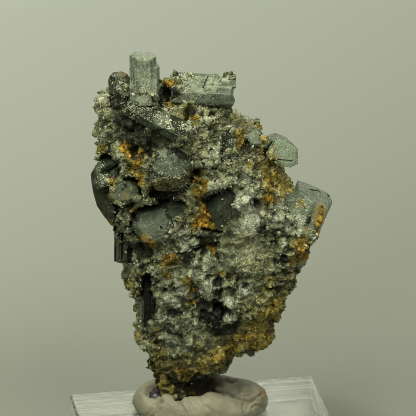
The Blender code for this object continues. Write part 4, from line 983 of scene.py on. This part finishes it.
def build_rock():
    rng = random.Random(11)
    bm = bmesh.new()
    step = 7
    for row, v in enumerate(range(71, 403, step)):
        us = np.arange(94 + (row % 2) * 4, 322, step, dtype=float)
        reaches = outline_distance(us, np.full(len(us), float(v)), ROCK_OUTLINE) * GRID
        for col, (u, reach) in enumerate(zip(us, reaches)):
            if reach < 0.9 or (reach > 5.0 and (row + col) % 2):
                continue
            reach = min(reach, 11.0)
            half = np.interp(v, *ROCK_HALF_DEPTH) * rng.uniform(0.88, 1.06)
            half = min(half, 2.3 * reach)
            tall = math.sqrt(max(0.2, reach ** 2 - (half * UPWARD[1]) ** 2)) / UPWARD[2]
            mid = Vector(at_y(u, v, MID_Y + rng.uniform(-1.0, 1.0)))
            bmesh.ops.create_icosphere(
                bm, subdivisions=2, radius=MM,
                matrix=Matrix.Translation(mid * MM) @ Matrix.Diagonal((reach, half, tall, 1.0)))
    crust_points = []
    for u, v, r, *lift in CRUST:
        aim = (Vector(seen(u, v, 0.0)) - EYE_V).normalized()
        hit = cad_tree.ray_cast(EYE_V, aim)
        if hit[0] is None:
            continue
        for k in range(3):
            c = np.array(hit[0]) + np.array([rng.uniform(-.5, .5), rng.uniform(-.2, .2), rng.uniform(-.5, .5)]) * r
            if lift:
                c = c - np.array(aim) * lift[0] * k / 2
            rr = r * rng.uniform(0.55, 0.85)
            crust_points.append((*c, rr))
            bmesh.ops.create_icosphere(
                bm, subdivisions=2, radius=MM,
                matrix=Matrix.Translation(Vector(c) * MM) @ Matrix.Diagonal((rr, rr * 0.7, rr, 1.0)))
    # ragged crust along the lines where crystals leave the rock
    fine_step = 1.7
    us = np.arange(88.0, 338.0, fine_step)
    vs = np.arange(70.0, 402.0, fine_step)
    kind = np.zeros((len(vs), len(us)), np.int8)
    places = {}
    for j, v in enumerate(vs):
        for i, u in enumerate(us):
            hit = cad_tree.ray_cast(EYE_V, (Vector(seen(u, v, 0.0)) - EYE_V).normalized())
            if hit[0] is None:
                continue
            if cad_owner[hit[2]] == "matrix":
                kind[j, i] = 1
            elif cad_owner[hit[2]].startswith(("aquamarine", "schorl_patch", "schorl_b")):
                kind[j, i] = 2
                places[(j, i)] = hit[0]
    for (j, i), where in places.items():
        around = kind[max(0, j - 1):j + 2, max(0, i - 1):i + 2]
        if not (around == 1).any() or rng.random() > 0.42:
            continue
        rr = rng.uniform(0.38, 0.80)
        c = np.array(where) + AWAY * rng.uniform(-0.1, 0.45)
        crust_points.append((*c, rr))
        bmesh.ops.create_icosphere(
            bm, subdivisions=2, radius=MM,
            matrix=Matrix.Translation(Vector(c) * MM) @ Matrix.Diagonal((rr, rr * 0.75, rr, 1.0)))
    me = bpy.data.meshes.new("rock_lumps")
    bm.to_mesh(me)
    bm.free()
    lumps = bpy.data.objects.new("rock_lumps", me)
    bpy.context.scene.collection.objects.link(lumps)
    skin = voxel_mesh(lumps, 0.43, "mica_rock_body")
    bpy.data.objects.remove(lumps, do_unlink=True)
    co, no = coords(skin), normals(skin)
    crust_points = np.array(crust_points)
    near_crust = np.zeros(len(co), bool)
    for cx_, cy_, cz_, rr in crust_points:
        near_crust |= ((co[:, 0] - cx_) ** 2 + (co[:, 1] - cy_) ** 2 + (co[:, 2] - cz_) ** 2) < (rr * 1.12) ** 2
    big = np.array([noise.noise(Vector(c) / 7.0) * 1.1
                    + noise.noise(Vector(c) / 3.4 + Vector((9, 4, 2))) * 0.7 for c in co])
    low = co[:, 2] < 30.0
    big[low] *= 0.4
    u, v, depth = grid_of(co)
    mid_depth = depth_for_y(u, v, MID_Y)
    front = smooth(mid_depth - depth, -1.0, 3.0)
    push = np.zeros(len(co))
    for ru, rv, rr, h in RELIEF:
        d = np.hypot(u - ru, v - rv) / rr
        d = d * (1.0 + 0.25 * vnoise(co, 1.6, 5))
        push += h * (1 - smooth(d, 0.25, 1.1)) * front
    warp = np.stack([vnoise(co, 1.3, s) for s in (31, 32, 33)], 1)
    slow = np.stack([vnoise(co, 3.6, s) for s in (34, 35, 36)], 1)
    flat = np.zeros(len(co))
    for fu, fv, fr in FLAT:
        flat = np.maximum(flat, (1 - smooth(np.hypot(u - fu, v - fv) / fr, 0.6, 1.15)) * front)
    f1, f2, r = worley(co * np.array([1.0, 1.0, 1.25]) + 1.0 * warp + 1.4 * slow, 4.2, 3)
    lump = ((0.60 - f1) * 0.8 + (r[:, 0] - 0.5) * 0.9 + 1.2 * fbm(co + 0.5 * warp, 4.4, 38, 3, 0.55)) * (1 - 0.75 * flat)
    q1, q2, qr = worley(co * np.array([1.0, 1.0, 1.15]) + 0.8 * warp, 2.5, 13)
    pebble = ((0.5 - q1) * 0.95 + (qr[:, 0] - 0.5) * 0.7 - (1 - smooth(q2 - q1, 0.02, 0.20)) * 0.32) * (1 - 0.7 * flat)
    g1, g2, r2 = worley(co + 0.7 * warp, 1.6, 8)
    grain = ((0.5 - g1) * 0.60 + (r2[:, 0] - 0.5) * 0.45 + 0.35 * vnoise(co, 1.2, 39)) * (1 - 0.25 * flat)
    h1, h2, r3 = worley(co + 0.2 * warp, 0.85, 9)
    fine = (0.5 - h1) * 0.34 + vnoise(co, 0.6, 21) * 0.14
    keep = np.where(co[:, 2] < 28.0, 0.45, 1.0)
    crack = 1 - smooth(np.abs(fbm(co + 0.6 * warp, 4.8, 41, 2)), 0.012, 0.085)
    crack *= smooth(fbm(co, 6.5, 44, 2), -0.25, 0.20)
    ring = (1 - smooth(f2 - f1, 0.03, 0.20)) * smooth(fbm(co, 4.0, 45, 2), 0.0, 0.35)
    edge = 1 - np.maximum(crack, ring) * (1 - 0.75 * flat)
    edge2 = 1 - (1 - smooth(g2 - g1, 0.02, 0.20)) * (1 - 0.6 * flat) * smooth(vnoise(co, 2.2, 46), -0.3, 0.5)
    amount = np.where(near_crust, 0.55, 1.0)
    total = (big + push + lump + pebble - (1 - edge) * 0.75) * amount + (grain + fine - (1 - edge2) * 0.14)
    co2 = co + no * (total * keep)[:, None]
    # clear the faces of the crystals that stand free on the front
    bare = tree_of([crystal_objects[n] for n in BARE])
    rel = co2 - EYE
    dist = np.linalg.norm(rel, axis=1)
    # under: painted shade on the rock pushed back behind the crystals
    under = np.zeros(len(co))
    jitter = 0.45 + 0.45 * vnoise(co, 1.5, 88)
    for i in np.nonzero((front > 0.05) & ~near_crust)[0]:
        d = Vector(rel[i] / dist[i])
        p, n_, k, hit_d = cad_tree.ray_cast(EYE_V, d)
        if p is None:
            continue
        if cad_owner[k] == "matrix":
            p, n_, k, hit_d = bare.ray_cast(EYE_V, d)
            if p is None or dist[i] > hit_d + 0.6 or dist[i] < hit_d - 4.5:
                continue
            co2[i] = EYE + np.array(d) * (hit_d + jitter[i])
            under[i] = 0.8
            continue
        if dist[i] > hit_d + 1.2:
            continue
        q = vis_tree.ray_cast(EYE_V, d)
        hd = q[3] if q[0] is not None else hit_d
        if dist[i] < hd + jitter[i]:
            co2[i] = EYE + np.array(d) * (hd + jitter[i])
            under[i] = 1.0
    co2[:, 2] = np.maximum(co2[:, 2], 21.3)
    set_coords(skin, co2)
    skin.shade_smooth()
    ob = bpy.data.objects.new("mica_rock_body", skin)
    bpy.context.scene.collection.objects.link(ob)
    # painted shade in the cracks, cell seams and hollows, deeper in some places than others
    deep = smooth(fbm(co, 5.0, 37), -0.35, 0.25)
    crevice_shade = (1 - edge) * (0.40 + 0.5 * deep) + (1 - edge2) * 0.22 + smooth(-push, 0.4, 2.0) * 0.7 \
        + (1 - smooth(q2 - q1, 0.02, 0.16)) * 0.30 * (1 - 0.6 * flat)
    return ob, crevice_shade, under, r[:, 1], flat


rock, rock_crevice_shade, rock_shade_behind_crystals, rock_cell, rock_flat = build_rock()
# first field: painted shade in the crevices and behind the crystals; then cell tone and evenness
rock_fields = np.stack([np.clip(np.maximum(rock_crevice_shade, rock_shade_behind_crystals * 0.70), 0, 1), rock_cell, rock_flat], 1)
paint_zones(rock, rock_fields[:, 0], rock_cell)
rock.data.materials.clear()
rock.data.materials.append(MAT_ROCK)
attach(rock, "root")
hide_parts("matrix")

# ================================================================== mica and grains
def sample_surface(ob, count, rng, fields=None):
    """Random points and normals spread evenly over a mesh."""
    me = ob.data
    me.calc_loop_triangles()
    tri = np.zeros(len(me.loop_triangles) * 3, np.int32)
    me.loop_triangles.foreach_get("vertices", tri)
    tri = tri.reshape(-1, 3)
    co = coords(me)
    a, b, c = co[tri[:, 0]], co[tri[:, 1]], co[tri[:, 2]]
    n = np.cross(b - a, c - a)
    area = np.linalg.norm(n, axis=1) / 2
    pick = rng.choice(len(tri), count, p=area / area.sum())
    r1, r2 = np.sqrt(rng.random(count)), rng.random(count)
    p = (1 - r1)[:, None] * a[pick] + (r1 * (1 - r2))[:, None] * b[pick] + (r1 * r2)[:, None] * c[pick]
    nn = n[pick] / (np.linalg.norm(n[pick], axis=1)[:, None] + 1e-12)
    if fields is not None:
        return p, nn, fields[tri[pick]].mean(axis=1)
    return p, nn


def plates(name, P, N, size, thick, tone, rng, corners=4, stretch=0.25):
    """Thin many-sided plates at the points P, lying across their normals N,
    with per-plate colour data."""
    k = len(P)
    helper = rng.normal(size=(k, 3))
    ax = np.cross(N, helper)
    ax /= np.linalg.norm(ax, axis=1)[:, None]
    ay = np.cross(N, ax)
    ang = (np.arange(corners) / corners * 2 * math.pi)[None, :] + rng.uniform(-0.3, 0.3, (k, corners))
    rad = size[:, None] * rng.uniform(0.70, 1.15, (k, corners))
    sx = 1 + rng.uniform(-stretch, stretch, k)
    X = np.cos(ang) * rad * sx[:, None]
    Y = np.sin(ang) * rad / sx[:, None]
    ring = P[:, None, :] + X[..., None] * ax[:, None, :] + Y[..., None] * ay[:, None, :]
    off = (thick / 2)[:, None, None] * N[:, None, :]
    top, bottom = ring + off, P[:, None, :] + (ring - P[:, None, :]) * 0.9 - off
    co = np.concatenate([top, bottom], 1).reshape(-1, 3)
    base = (np.arange(k) * 2 * corners)[:, None]
    idx = np.arange(corners)
    nxt = (idx + 1) % corners
    f_top = base + idx[None, :]
    f_bot = base + corners + idx[::-1][None, :]
    sides = np.stack([base + idx, base + corners + idx, base + corners + nxt, base + nxt], 2)
    loops = np.concatenate([f_top, f_bot, sides.reshape(k, -1)], 1)
    per = np.array([corners, corners] + [4] * corners)
    totals = np.tile(per, k)
    starts = np.concatenate([[0], np.cumsum(totals)[:-1]])
    ob = fast_mesh(name, co, loops.ravel(), starts, totals)
    paint(ob.data, "tone", np.repeat(tone, 2 * corners, axis=0))
    # each plate has its own small square of the colour map
    cells = int(math.ceil(math.sqrt(k)))
    cell = np.arange(k)
    cu, cv = (cell % cells) / cells, (cell // cells) / cells
    lu = (np.cos(idx / corners * 2 * math.pi) * 0.42 + 0.5) / cells
    lv = (np.sin(idx / corners * 2 * math.pi) * 0.42 + 0.5) / cells
    uv_ring = np.stack([cu[:, None] + lu[None, :], cv[:, None] + lv[None, :]], 2)
    uv_all = np.concatenate([uv_ring, uv_ring], 1).reshape(-1, 2)
    uv = ob.data.uv_layers.new(name="OFBake")
    if len(ob.data.loops) == loops.size:
        uv.data.foreach_set("uv", uv_all[loops.ravel()].astype(np.float32).ravel())
    ob.data.materials.append(MAT_FLAKE)
    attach(ob, "root")
    return ob


def tones_at(P, rng, base=0.5, spread=0.15, fields=None):
    rust, dark, pale = zones(P)
    tone = base + 0.03 + 0.26 * (pale - 0.10) + rng.normal(0, spread, len(P))
    if fields is not None:
        # plates in the crevices and behind the crystals get painted shade
        tone += 0.20 * (fields[:, 1] - 0.5) - 0.30 * fields[:, 0]
        dark = np.maximum(dark, fields[:, 0] * 0.9)
    rust = np.clip(rust * rng.uniform(0.5, 1.2, len(P)), 0, 0.95)
    rust = np.where(rng.random(len(P)) < 0.10, rust * 0.2, rust)
    dark = np.clip(1.3 * dark * rng.uniform(0.70, 1.1, len(P)), 0, 0.97)
    return np.stack([np.clip(tone, 0.02, 1.0), rust, dark, rng.random(len(P))], 1)


def book_normals(P, N, rng, cell=1.7, loose=0.30, lift=1.0, seed=7):
    """Plates of one mica book share a direction; books differ."""
    f1, f2, r = worley(P, cell, seed)
    th = r[:, 0] * 2 * math.pi
    ph = np.arccos(np.clip(2 * r[:, 1] - 1, -1, 1))
    D = np.stack([np.sin(ph) * np.cos(th), np.sin(ph) * np.sin(th), np.cos(ph)], 1)
    D = D * np.sign((D * N).sum(1))[:, None]
    out = N * lift + D + rng.normal(0, loose, P.shape)
    return out / np.linalg.norm(out, axis=1)[:, None]


def behind_crystal(P):
    rel = P - EYE
    dist = np.linalg.norm(rel, axis=1)
    out = np.zeros(len(P), bool)
    for i in range(len(P)):
        q = vis_tree.ray_cast(EYE_V, Vector(rel[i] / dist[i]))
        out[i] = q[0] is not None and q[3] < dist[i] - 0.02
    return out


def scatter_mica(name, count, size_lo, size_hi, seed, region, lift, base, corners=4, cell=1.7, out=0.25):
    rng = np.random.default_rng(seed)
    P, N, F = sample_surface(rock, int(count * 3.0), rng, rock_fields)
    u, v, depth = grid_of(P)
    is_front = depth < depth_for_y(u, v, MID_Y) + 1.0
    keep = (is_front if region == "front" else ~is_front) & (P[:, 2] > 24.5)
    P, N, F = P[keep], N[keep], F[keep]
    rust, dark, pale = zones(P)
    ok = rng.random(len(P)) < 1.0 - 0.85 * np.maximum(dark, F[:, 0])
    if region == "front" and size_lo > 0.25:
        ok &= rng.random(len(P)) < 1.0 - 0.8 * F[:, 2]
    P, N, F = P[ok], N[ok], F[ok]
    if region == "front":
        ok = ~behind_crystal(P)
        P, N, F = P[ok], N[ok], F[ok]
    P, N, F = P[:count], N[:count], F[:count]
    D = book_normals(P, N, rng, cell=cell, lift=lift)
    size = np.exp(rng.uniform(math.log(size_lo), math.log(size_hi), len(P)))
    P = P + N * (size * rng.uniform(-0.10, out, len(P)))[:, None]
    thick = rng.uniform(0.05, 0.10, len(P)) + size * 0.12
    tone = tones_at(P, rng, base, 0.18, F)
    pick = rng.random(len(P))
    tone[pick < 0.075] = (0.02, 0.0, 0.95, 0.5)        # black grains among the mica
    tone[pick > 0.972] = (1.0, 0.05, 0.0, 0.03)        # glossy plates that catch the light, painted palest as painted glints
    return plates(name, P, D, size, thick, tone, rng, corners=corners)


scatter_mica("mica_plates_front", 2600, 0.28, 0.55, 101, "front", 1.1, 0.56, corners=5, out=0.10)
scatter_mica("mica_scales_front", 15500, 0.11, 0.30, 102, "front", 1.15, 0.66, cell=1.1)
scatter_mica("mica_plates_back", 7500, 0.20, 0.55, 103, "back", 1.1, 0.50)

# mica dust caught on the crystals: (u, v, radius, how dense)
DUST = [
    (140, 104, 10, .26), (150, 108, 11, .24), (163, 120, 6, .5), (170, 125, 6, .6), (157, 116, 5, .4), (128, 104, 8, .22),
    (182, 128, 8, .25), (133, 112, 8, .10), (157, 150, 5, .22), (166, 160, 9, .03), (148, 79, 7, .25), (146, 92, 7, .6), (122, 88, 5, .8), (127, 93, 4, .7),
    (136, 86, 7, .12), (150, 68, 6, .05), (137, 66, 8, .04), (125, 86, 5, .5), (116, 80, 7, .12), (118, 95, 9, .15),
    (100, 166, 6, .14), (104, 178, 6, .18), (98, 188, 7, .05), (112, 186, 6, .04), (115, 197, 8, .02), (133, 222, 6, .06),
    (142, 226, 5, .12), (150, 238, 7, .10), (163, 232, 10, .04), (140, 236, 8, .06), (160, 215, 8, .02), (174, 224, 7, .3),
    (186, 80, 9, .55), (200, 88, 12, .15), (212, 84, 9, .2), (227, 76, 6, .6), (205, 98, 14, .10), (180, 88, 8, .5),
    (190, 100, 10, .2), (228, 140, 8, .15), (229, 158, 9, .3), (226, 130, 6, .2), (252, 136, 8, .05), (278, 150, 12, .02),
    (285, 207, 11, .25), (296, 214, 11, .35), (290, 225, 14, .6), (303, 228, 12, .5), (312, 236, 9, .5), (305, 207, 8, .3),
    (318, 215, 9, .12), (310, 195, 10, .02), (222, 185, 8, .3), (236, 190, 8, .05), (246, 184, 6, .2), (232, 178, 6, .2),
    (160, 184, 12, .5), (178, 184, 10, .4), (150, 190, 10, .5), (120, 235, 8, .10), (217, 367, 8, .4), (153, 366, 7, .1),
]


def scatter_dust(name, count, seed):
    rng = np.random.default_rng(seed)
    names = [n for n in CRYSTALS if n.startswith("aquamarine") and "_back_" not in n]
    Ps, Ns = [], []
    for n in names:
        ob = crystal_objects[n]
        area = sum(p.area for p in ob.data.polygons) / MM ** 2
        P, N = sample_surface(ob, int(area * 34), rng)
        Ps.append(P)
        Ns.append(N)
    P, N = np.concatenate(Ps), np.concatenate(Ns)
    facing = ((EYE - P) * N).sum(1) > 0
    P, N = P[facing], N[facing]
    u, v, depth = grid_of(P)
    wu = u + 1.5 * vnoise(P, 0.8, 261)
    wv = v + 1.5 * vnoise(P, 0.8, 262)
    want = np.full(len(P), 0.008)
    for zu, zv, zr, zs in DUST:
        d = np.hypot(wu - zu, wv - zv) / (zr * 1.15)
        want = np.maximum(want, zs * (1 - smooth(d, 0.5, 1.1)))
    want *= 0.35 + 1.3 * smooth(vnoise(P, 1.1, 263) + 0.4 * vnoise(P, 0.5, 264), -0.15, 0.5)
    ok = rng.random(len(P)) < want
    P, N = P[ok], N[ok]
    hidden = behind_crystal(P + N * 0.15)
    P, N = P[~hidden], N[~hidden]
    order = rng.permutation(len(P))[:count]
    P, N = P[order], N[order]
    D = book_normals(P, N, rng, cell=1.0, lift=1.5, loose=0.35)
    size = np.exp(rng.uniform(math.log(0.07), math.log(0.20), len(P)))
    P = P + N * (size * 0.1)[:, None]
    tone = tones_at(P, rng, 0.66, 0.14)
    tone[:, 2] *= 0.3
    cr, cd, cp = crystal_zones(P)
    tone[:, 1] = np.maximum(tone[:, 1] * 0.4, cr * 0.8)
    return plates(name, P, D, size, 0.05 + size * 0.3, tone, rng)


scatter_dust("mica_dust", 11000, 202)


# ------------------------------------------------------------------ needles sealed in the crystals
def bars(name, rows, seed):
    """Thin black needles between two grid places, at a depth under the skin."""
    rng = np.random.default_rng(seed)
    bm = bmesh.new()
    cxs = []
    for u0, v0, u1, v1, width, sunk in rows:
        ends = []
        for u, v in ((u0, v0), (u1, v1)):
            aim = (Vector(seen(u, v, 0.0)) - EYE_V).normalized()
            hit = vis_tree.ray_cast(EYE_V, aim)
            if hit[0] is None:
                hit = cad_tree.ray_cast(EYE_V, aim)
            base_d = hit[3] if hit[0] is not None else (Vector(at_y(u, v, 8.0)) - EYE_V).length
            ends.append(EYE_V + aim * (base_d + sunk))
        a, b = ends
        axis = (b - a)
        length = axis.length
        rot = axis.to_track_quat('Z', 'Y').to_matrix().to_4x4()
        bmesh.ops.create_cone(bm, segments=6, cap_ends=True, cap_tris=False, radius1=width * GRID / 2 * MM,
                              radius2=width * GRID / 2 * MM * rng.uniform(0.6, 1.0), depth=length * MM,
                              matrix=Matrix.Translation((a + b) / 2 * MM) @ rot)
    me = bpy.data.meshes.new(name)
    bm.to_mesh(me)
    bm.free()
    vector_attribute(me, "cx", coords(me))
    me.materials.append(MAT_SCHORL)
    ob = bpy.data.objects.new(name, me)
    bpy.context.scene.collection.objects.link(ob)
    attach(ob, "root")
    return ob


bars("schorl_inclusions", [
    (277.0, 159.2, 292.5, 160.6, 1.0, -0.08), (309.5, 189.0, 314.5, 190.6, 1.4, 0.0), (313.5, 190.9, 317.5, 190.4, 1.7, 0.0),
    (317.0, 190.2, 320.5, 192.4, 1.2, 0.0), (327.5, 194.6, 330.0, 196.4, 1.8, 0.0), (101.5, 171.5, 116.0, 163.2, 2.0, -0.70),
    (148.0, 139.8, 157.5, 132.8, 2.9, -1.30), (115.2, 229.0, 115.4, 261.0, 2.2, 0.02),
    (121.8, 229.0, 122.0, 260.0, 2.4, 0.05), (203.0, 88.0, 208.0, 76.5, 1.8, 0.15),
    (168.0, 209.0, 170.0, 216.5, 1.6, 0.1), (160.0, 226.5, 162.2, 228.0, 3.0, 0.05), (311.0, 191.0, 311.4, 200.5, 0.5, 0.6),
    (252.0, 129.0, 258.0, 127.6, 1.2, 0.05), (271.6, 146.0, 274.5, 141.2, 1.3, 0.05), (204.0, 229.5, 222.0, 231.8, 1.8, 0.2),
    (189.0, 207.0, 193.0, 203.0, 1.4, 0.1),
], 5)

# ================================================================== putty
# the front wall's top edge along u, and the creases pressed into it
PUTTY_CREST = ((129, 134, 140, 146, 150, 155, 160, 165, 170, 175, 179.5, 185, 192, 200, 207, 212, 218, 225, 235, 243,
                248.5, 255, 262, 270),
               (397, 391.5, 392, 394.5, 397, 398.3, 396, 393.4, 393.4, 396.5, 399.8, 397, 395.6, 394, 391.4, 390.4,
                391.2, 393, 395, 397.6, 399.5, 396.2, 393, 395))
PUTTY_CREASES = [  # points, width mm, depth mm, painted shade
    (((211, 391), (222, 393.4), (232, 395.2), (241, 397.8), (248, 399.8), (255, 397), (262, 393)), 0.30, 0.75, 0.8),
    (((147, 415), (152, 409), (158, 404.5), (162, 401.5)), 0.32, 0.35, 0.25),
    (((150, 415), (156, 409.5), (161, 406)), 0.5, -0.40, 0.0),
    (((179.5, 400), (181, 405), (186, 413)), 0.35, 0.30, 0.15),
    (((189, 398), (192, 403), (195, 411)), 0.25, 0.14, 0.1), (((193, 397), (197, 403), (199, 408)), 0.22, 0.12, 0.1),
    (((197, 397), (202, 402), (204, 407)), 0.22, 0.12, 0.1), (((186, 399), (188, 404), (190, 411)), 0.22, 0.12, 0.1),
    (((244, 402), (243, 407), (244.5, 413)), 0.28, 0.28, 0.3), (((252, 408), (255, 405.6), (260, 405.2), (263, 407.5)), 0.28, 0.32, 0.3),
    (((250, 401), (254, 399.4), (258, 400)), 0.25, 0.22, 0.35), (((226, 380.3), (231, 382), (236, 381.5)), 0.35, 0.40, 0.5),
    (((243, 386.5), (246, 385), (250, 386)), 0.28, 0.22, 0.4), (((246, 389), (250, 388)), 0.28, 0.22, 0.4),
    (((243, 392), (248, 391), (252, 391.5)), 0.28, 0.22, 0.4), (((245, 395), (249, 394.5)), 0.25, 0.20, 0.4),
    (((222, 391.6), (228, 392)), 0.22, 0.20, 0.3), (((154, 404), (160, 402)), 0.35, 0.25, 0.3),
    (((131, 402), (134, 408), (137, 415)), 0.4, 0.22, 0.1), (((207, 407), (212, 411), (215, 415)), 0.4, 0.2, 0.15),
]


def build_putty():
    lo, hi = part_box("putty")
    lo, hi = np.array(lo) / MM, np.array(hi) / MM
    src = bpy.data.objects.new("putty_src", NODES["putty"].data.copy())
    bpy.context.scene.collection.objects.link(src)
    bm = bmesh.new()
    bm.from_mesh(src.data)
    bmesh.ops.remove_doubles(bm, verts=bm.verts, dist=2e-6)
    bm.to_mesh(src.data)
    bm.free()
    me = voxel_mesh(src, 0.27, "putty_lump")
    bpy.data.objects.remove(src, do_unlink=True)
    ob = bpy.data.objects.new("putty_lump", me)
    bpy.context.scene.collection.objects.link(ob)
    co, no = coords(me), normals(me)
    # the wall's top edge follows PUTTY_CREST
    u, v, depth = grid_of(co)
    wall = co[:, 1] < 12.5
    bins = np.clip(((u - 125) / 3).astype(int), 0, 50)
    top_v = np.full(51, 420.0)
    np.minimum.at(top_v, bins[wall], v[wall])
    ok = top_v < 419
    centres = 126.5 + 3 * np.arange(51)
    now_v = np.interp(u, centres[ok], top_v[ok])
    lift = (now_v - np.interp(u, *PUTTY_CREST)) / (math.cos(SIGHT_TILT) / GRID)
    share = smooth(co[:, 2], 20.2, 25.0) * (1 - smooth(co[:, 1], 11.5, 16.0))
    co[:, 2] += lift * share
    # hollow behind the wall, right of the foot
    u, v, depth = grid_of(co)
    for hu, hv, rr, h in ((199, 386, 13, 3.2), (207, 383, 9, 1.6), (190, 392, 8, 1.5), (216, 386, 10, 0.7),
                          (150, 390, 7, 0.8), (232, 388, 14, 0.5)):
        d = np.hypot(u - hu, v - hv) / rr
        behind = smooth(co[:, 1], 9.0, 12.0)
        co[:, 2] -= h * (1 - smooth(d, 0.3, 1.05)) * behind * smooth(co[:, 2], 20.0, 22.0)
    set_coords(me, co)
    co, no = coords(me), normals(me)
    soft = smooth(co[:, 2], lo[2] + 0.1, lo[2] + 1.2)
    u, v, depth = grid_of(co)
    facing = ((EYE - co) * no).sum(1) > 0
    move = vnoise(co, 4.0, 301) * 0.22 + vnoise(co, 1.8, 302) * 0.10
    # painted shade along the creases
    crease_shade = np.zeros(len(co))
    for pts, width, deep, shade_amount in PUTTY_CREASES:
        pts = np.array(pts, float)
        best = np.full(len(co), 1e9)
        for (x0, y0), (x1, y1) in zip(pts[:-1], pts[1:]):
            dx, dy = x1 - x0, y1 - y0
            t = np.clip(((u - x0) * dx + (v - y0) * dy) / (dx * dx + dy * dy), 0, 1)
            best = np.minimum(best, np.hypot(u - x0 - t * dx, v - y0 - t * dy))
        g = np.exp(-(best * GRID / width) ** 2) * facing
        move -= deep * g
        crease_shade = np.maximum(crease_shade, g * shade_amount)
    # finger ridges in patches, each with its own direction
    ridge = np.zeros(len(co))
    for cu, cv, rr, ang, pitch in ((140, 396, 14, 0.3, 0.52), (165, 404, 15, 1.1, 0.5), (195, 405, 16, 0.35, 0.62),
                                   (220, 403, 15, 1.75, 0.5), (240, 405, 14, 1.3, 0.5), (258, 405, 12, 0.5, 0.48),
                                   (235, 387, 14, 2.0, 0.55), (250, 390, 12, 2.3, 0.5)):
        d = np.hypot(u - cu, v - cv) / rr
        w = 1 - smooth(d, 0.35, 1.0)
        s = ((u - cu) * math.cos(ang) + (v - cv) * math.sin(ang)) * GRID
        bend = 0.35 * vnoise(co, 2.2, int(cu))
        ridge += w * np.sin((s + bend) * 2 * math.pi / pitch)
    move += 0.035 * ridge
    p1, p2, pr = worley(co, 1.6, 315)
    pit = (1 - smooth(p1, 0.05, 0.16)) * (pr[:, 0] > 0.55)
    move -= 0.16 * pit
    co = co + no * (move * soft)[:, None]
    co = np.minimum(np.maximum(co, lo), np.array([hi[0], hi[1], hi[2] + 1.2]))
    set_coords(me, co)
    me.shade_smooth()
    # painted shadow in the hollow behind the wall, right of the foot
    hollow_shadow = np.zeros(len(co))
    for hu, hv, rr, h in ((198, 387, 15, 1.0), (207, 382, 11, 1.0), (152, 391, 8, 0.75), (186, 396, 7, 0.7), (214, 386, 7, 0.8)):
        d = np.hypot(u - hu, v - hv) / rr
        hollow_shadow = np.maximum(hollow_shadow, h * (1 - smooth(d, 0.4, 1.1)) * smooth(co[:, 1], 10.0, 13.0))
    ochre = np.zeros(len(co))
    for hu, hv, rr, h in ((264, 392, 3, 0.8), (266, 396, 2.5, 0.7), (260, 391.5, 2, 0.5), (262, 388, 2, 0.4)):
        d = np.hypot(u - hu, v - hv) / rr
        ochre = np.maximum(ochre, h * (1 - smooth(d, 0.3, 1.3)))
    # second channel: painted shade in the creases, the hollow and the pits
    paint(me, "zone", np.stack([ochre, np.clip(np.maximum(crease_shade, np.maximum(hollow_shadow, pit * 0.4)), 0, 1),
                                np.zeros(len(co)), np.zeros(len(co))], 1))
    me.materials.clear()
    me.materials.append(MAT_PUTTY)
    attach(ob, "root")
    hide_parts("putty")
    return ob


putty = build_putty()

# ================================================================== acrylic block
base = NODES["acrylic_base"]
base.data.materials.clear()
base.data.materials.append(MAT_ACRYLIC)
soft_edge = base.modifiers.new("polished_edge", 'BEVEL')
soft_edge.width = 0.12 * MM
soft_edge.segments = 3
soft_edge.limit_method = 'ANGLE'
soft_edge.angle_limit = math.radians(25)

# ================================================================== stage
me = bpy.data.meshes.new("paper")
R = 4.0
me.from_pydata([(-R, -R, -0.0002), (R, -R, -0.0002), (R, R, -0.0002), (-R, R, -0.0002)], [], [(0, 1, 2, 3)])
floor = bpy.data.objects.new("paper", me)
bpy.context.scene.collection.objects.link(floor)
me.materials.append(MAT_FLOOR)


def area_light(name, where, aim, size, power, size_y=None, color=(0.98, 1.0, 0.80)):
    data = bpy.data.lights.new(name, 'AREA')
    data.shape = 'RECTANGLE'
    data.size = size
    data.size_y = size_y or size
    data.energy = power
    data.color = color
    ob = bpy.data.objects.new(name, data)
    ob.location = where
    ob.rotation_euler = (Vector(aim) - Vector(where)).to_track_quat('-Z', 'Y').to_euler()
    ob.visible_camera = False
    bpy.context.scene.collection.objects.link(ob)
    return ob


area_light("key_left", (-0.44, -0.62, 1.00), (0, 0.01, 0.06), 0.66, 8.0, size_y=0.50)
area_light("key_right", (0.42, -0.66, 1.00), (0, 0.01, 0.06), 0.66, 6.4, size_y=0.50)
area_light("key_core", (-0.36, -0.30, 1.20), (0, 0.01, 0.07), 0.12, 4.6)
area_light("top_soft", (0.02, 0.05, 1.25), (0, 0.02, 0.05), 0.60, 5.2)
area_light("back_card", (0.15, 1.35, 0.62), (0, 0.0, 0.03), 1.5, 3.6, size_y=0.5)

world = bpy.data.worlds.new("studio")
bpy.context.scene.world = world
world.use_nodes = True
wt = world.node_tree
bg = wt.nodes["Background"]
bg.inputs["Color"].default_value = (0.80, 0.83, 0.66, 1.0)
bg.inputs["Strength"].default_value = 0.11

# ================================================================== camera
cam_data = bpy.data.cameras.new("camera")
cam_data.sensor_width = 36.0
cam_data.lens = 396.0
cam_data.clip_start = 0.05
cam_data.clip_end = 20.0
cam = bpy.data.objects.new("camera", cam_data)
cam.location = Vector(EYE) * MM
cam.rotation_euler = (math.radians(90) - SIGHT_TILT, 0, 0)
bpy.context.scene.collection.objects.link(cam)
bpy.context.scene.camera = cam

scene = bpy.context.scene
scene.cycles.blur_glossy = 0.0
scene.cycles.filter_width = 0.9
scene.cycles.denoising_prefilter = 'FAST'
scene.cycles.sample_clamp_indirect = 8.0
scene.view_settings.view_transform = 'Standard'
scene.view_settings.look = 'None'
scene.view_settings.exposure = 0.0
scene.view_settings.gamma = 1.0
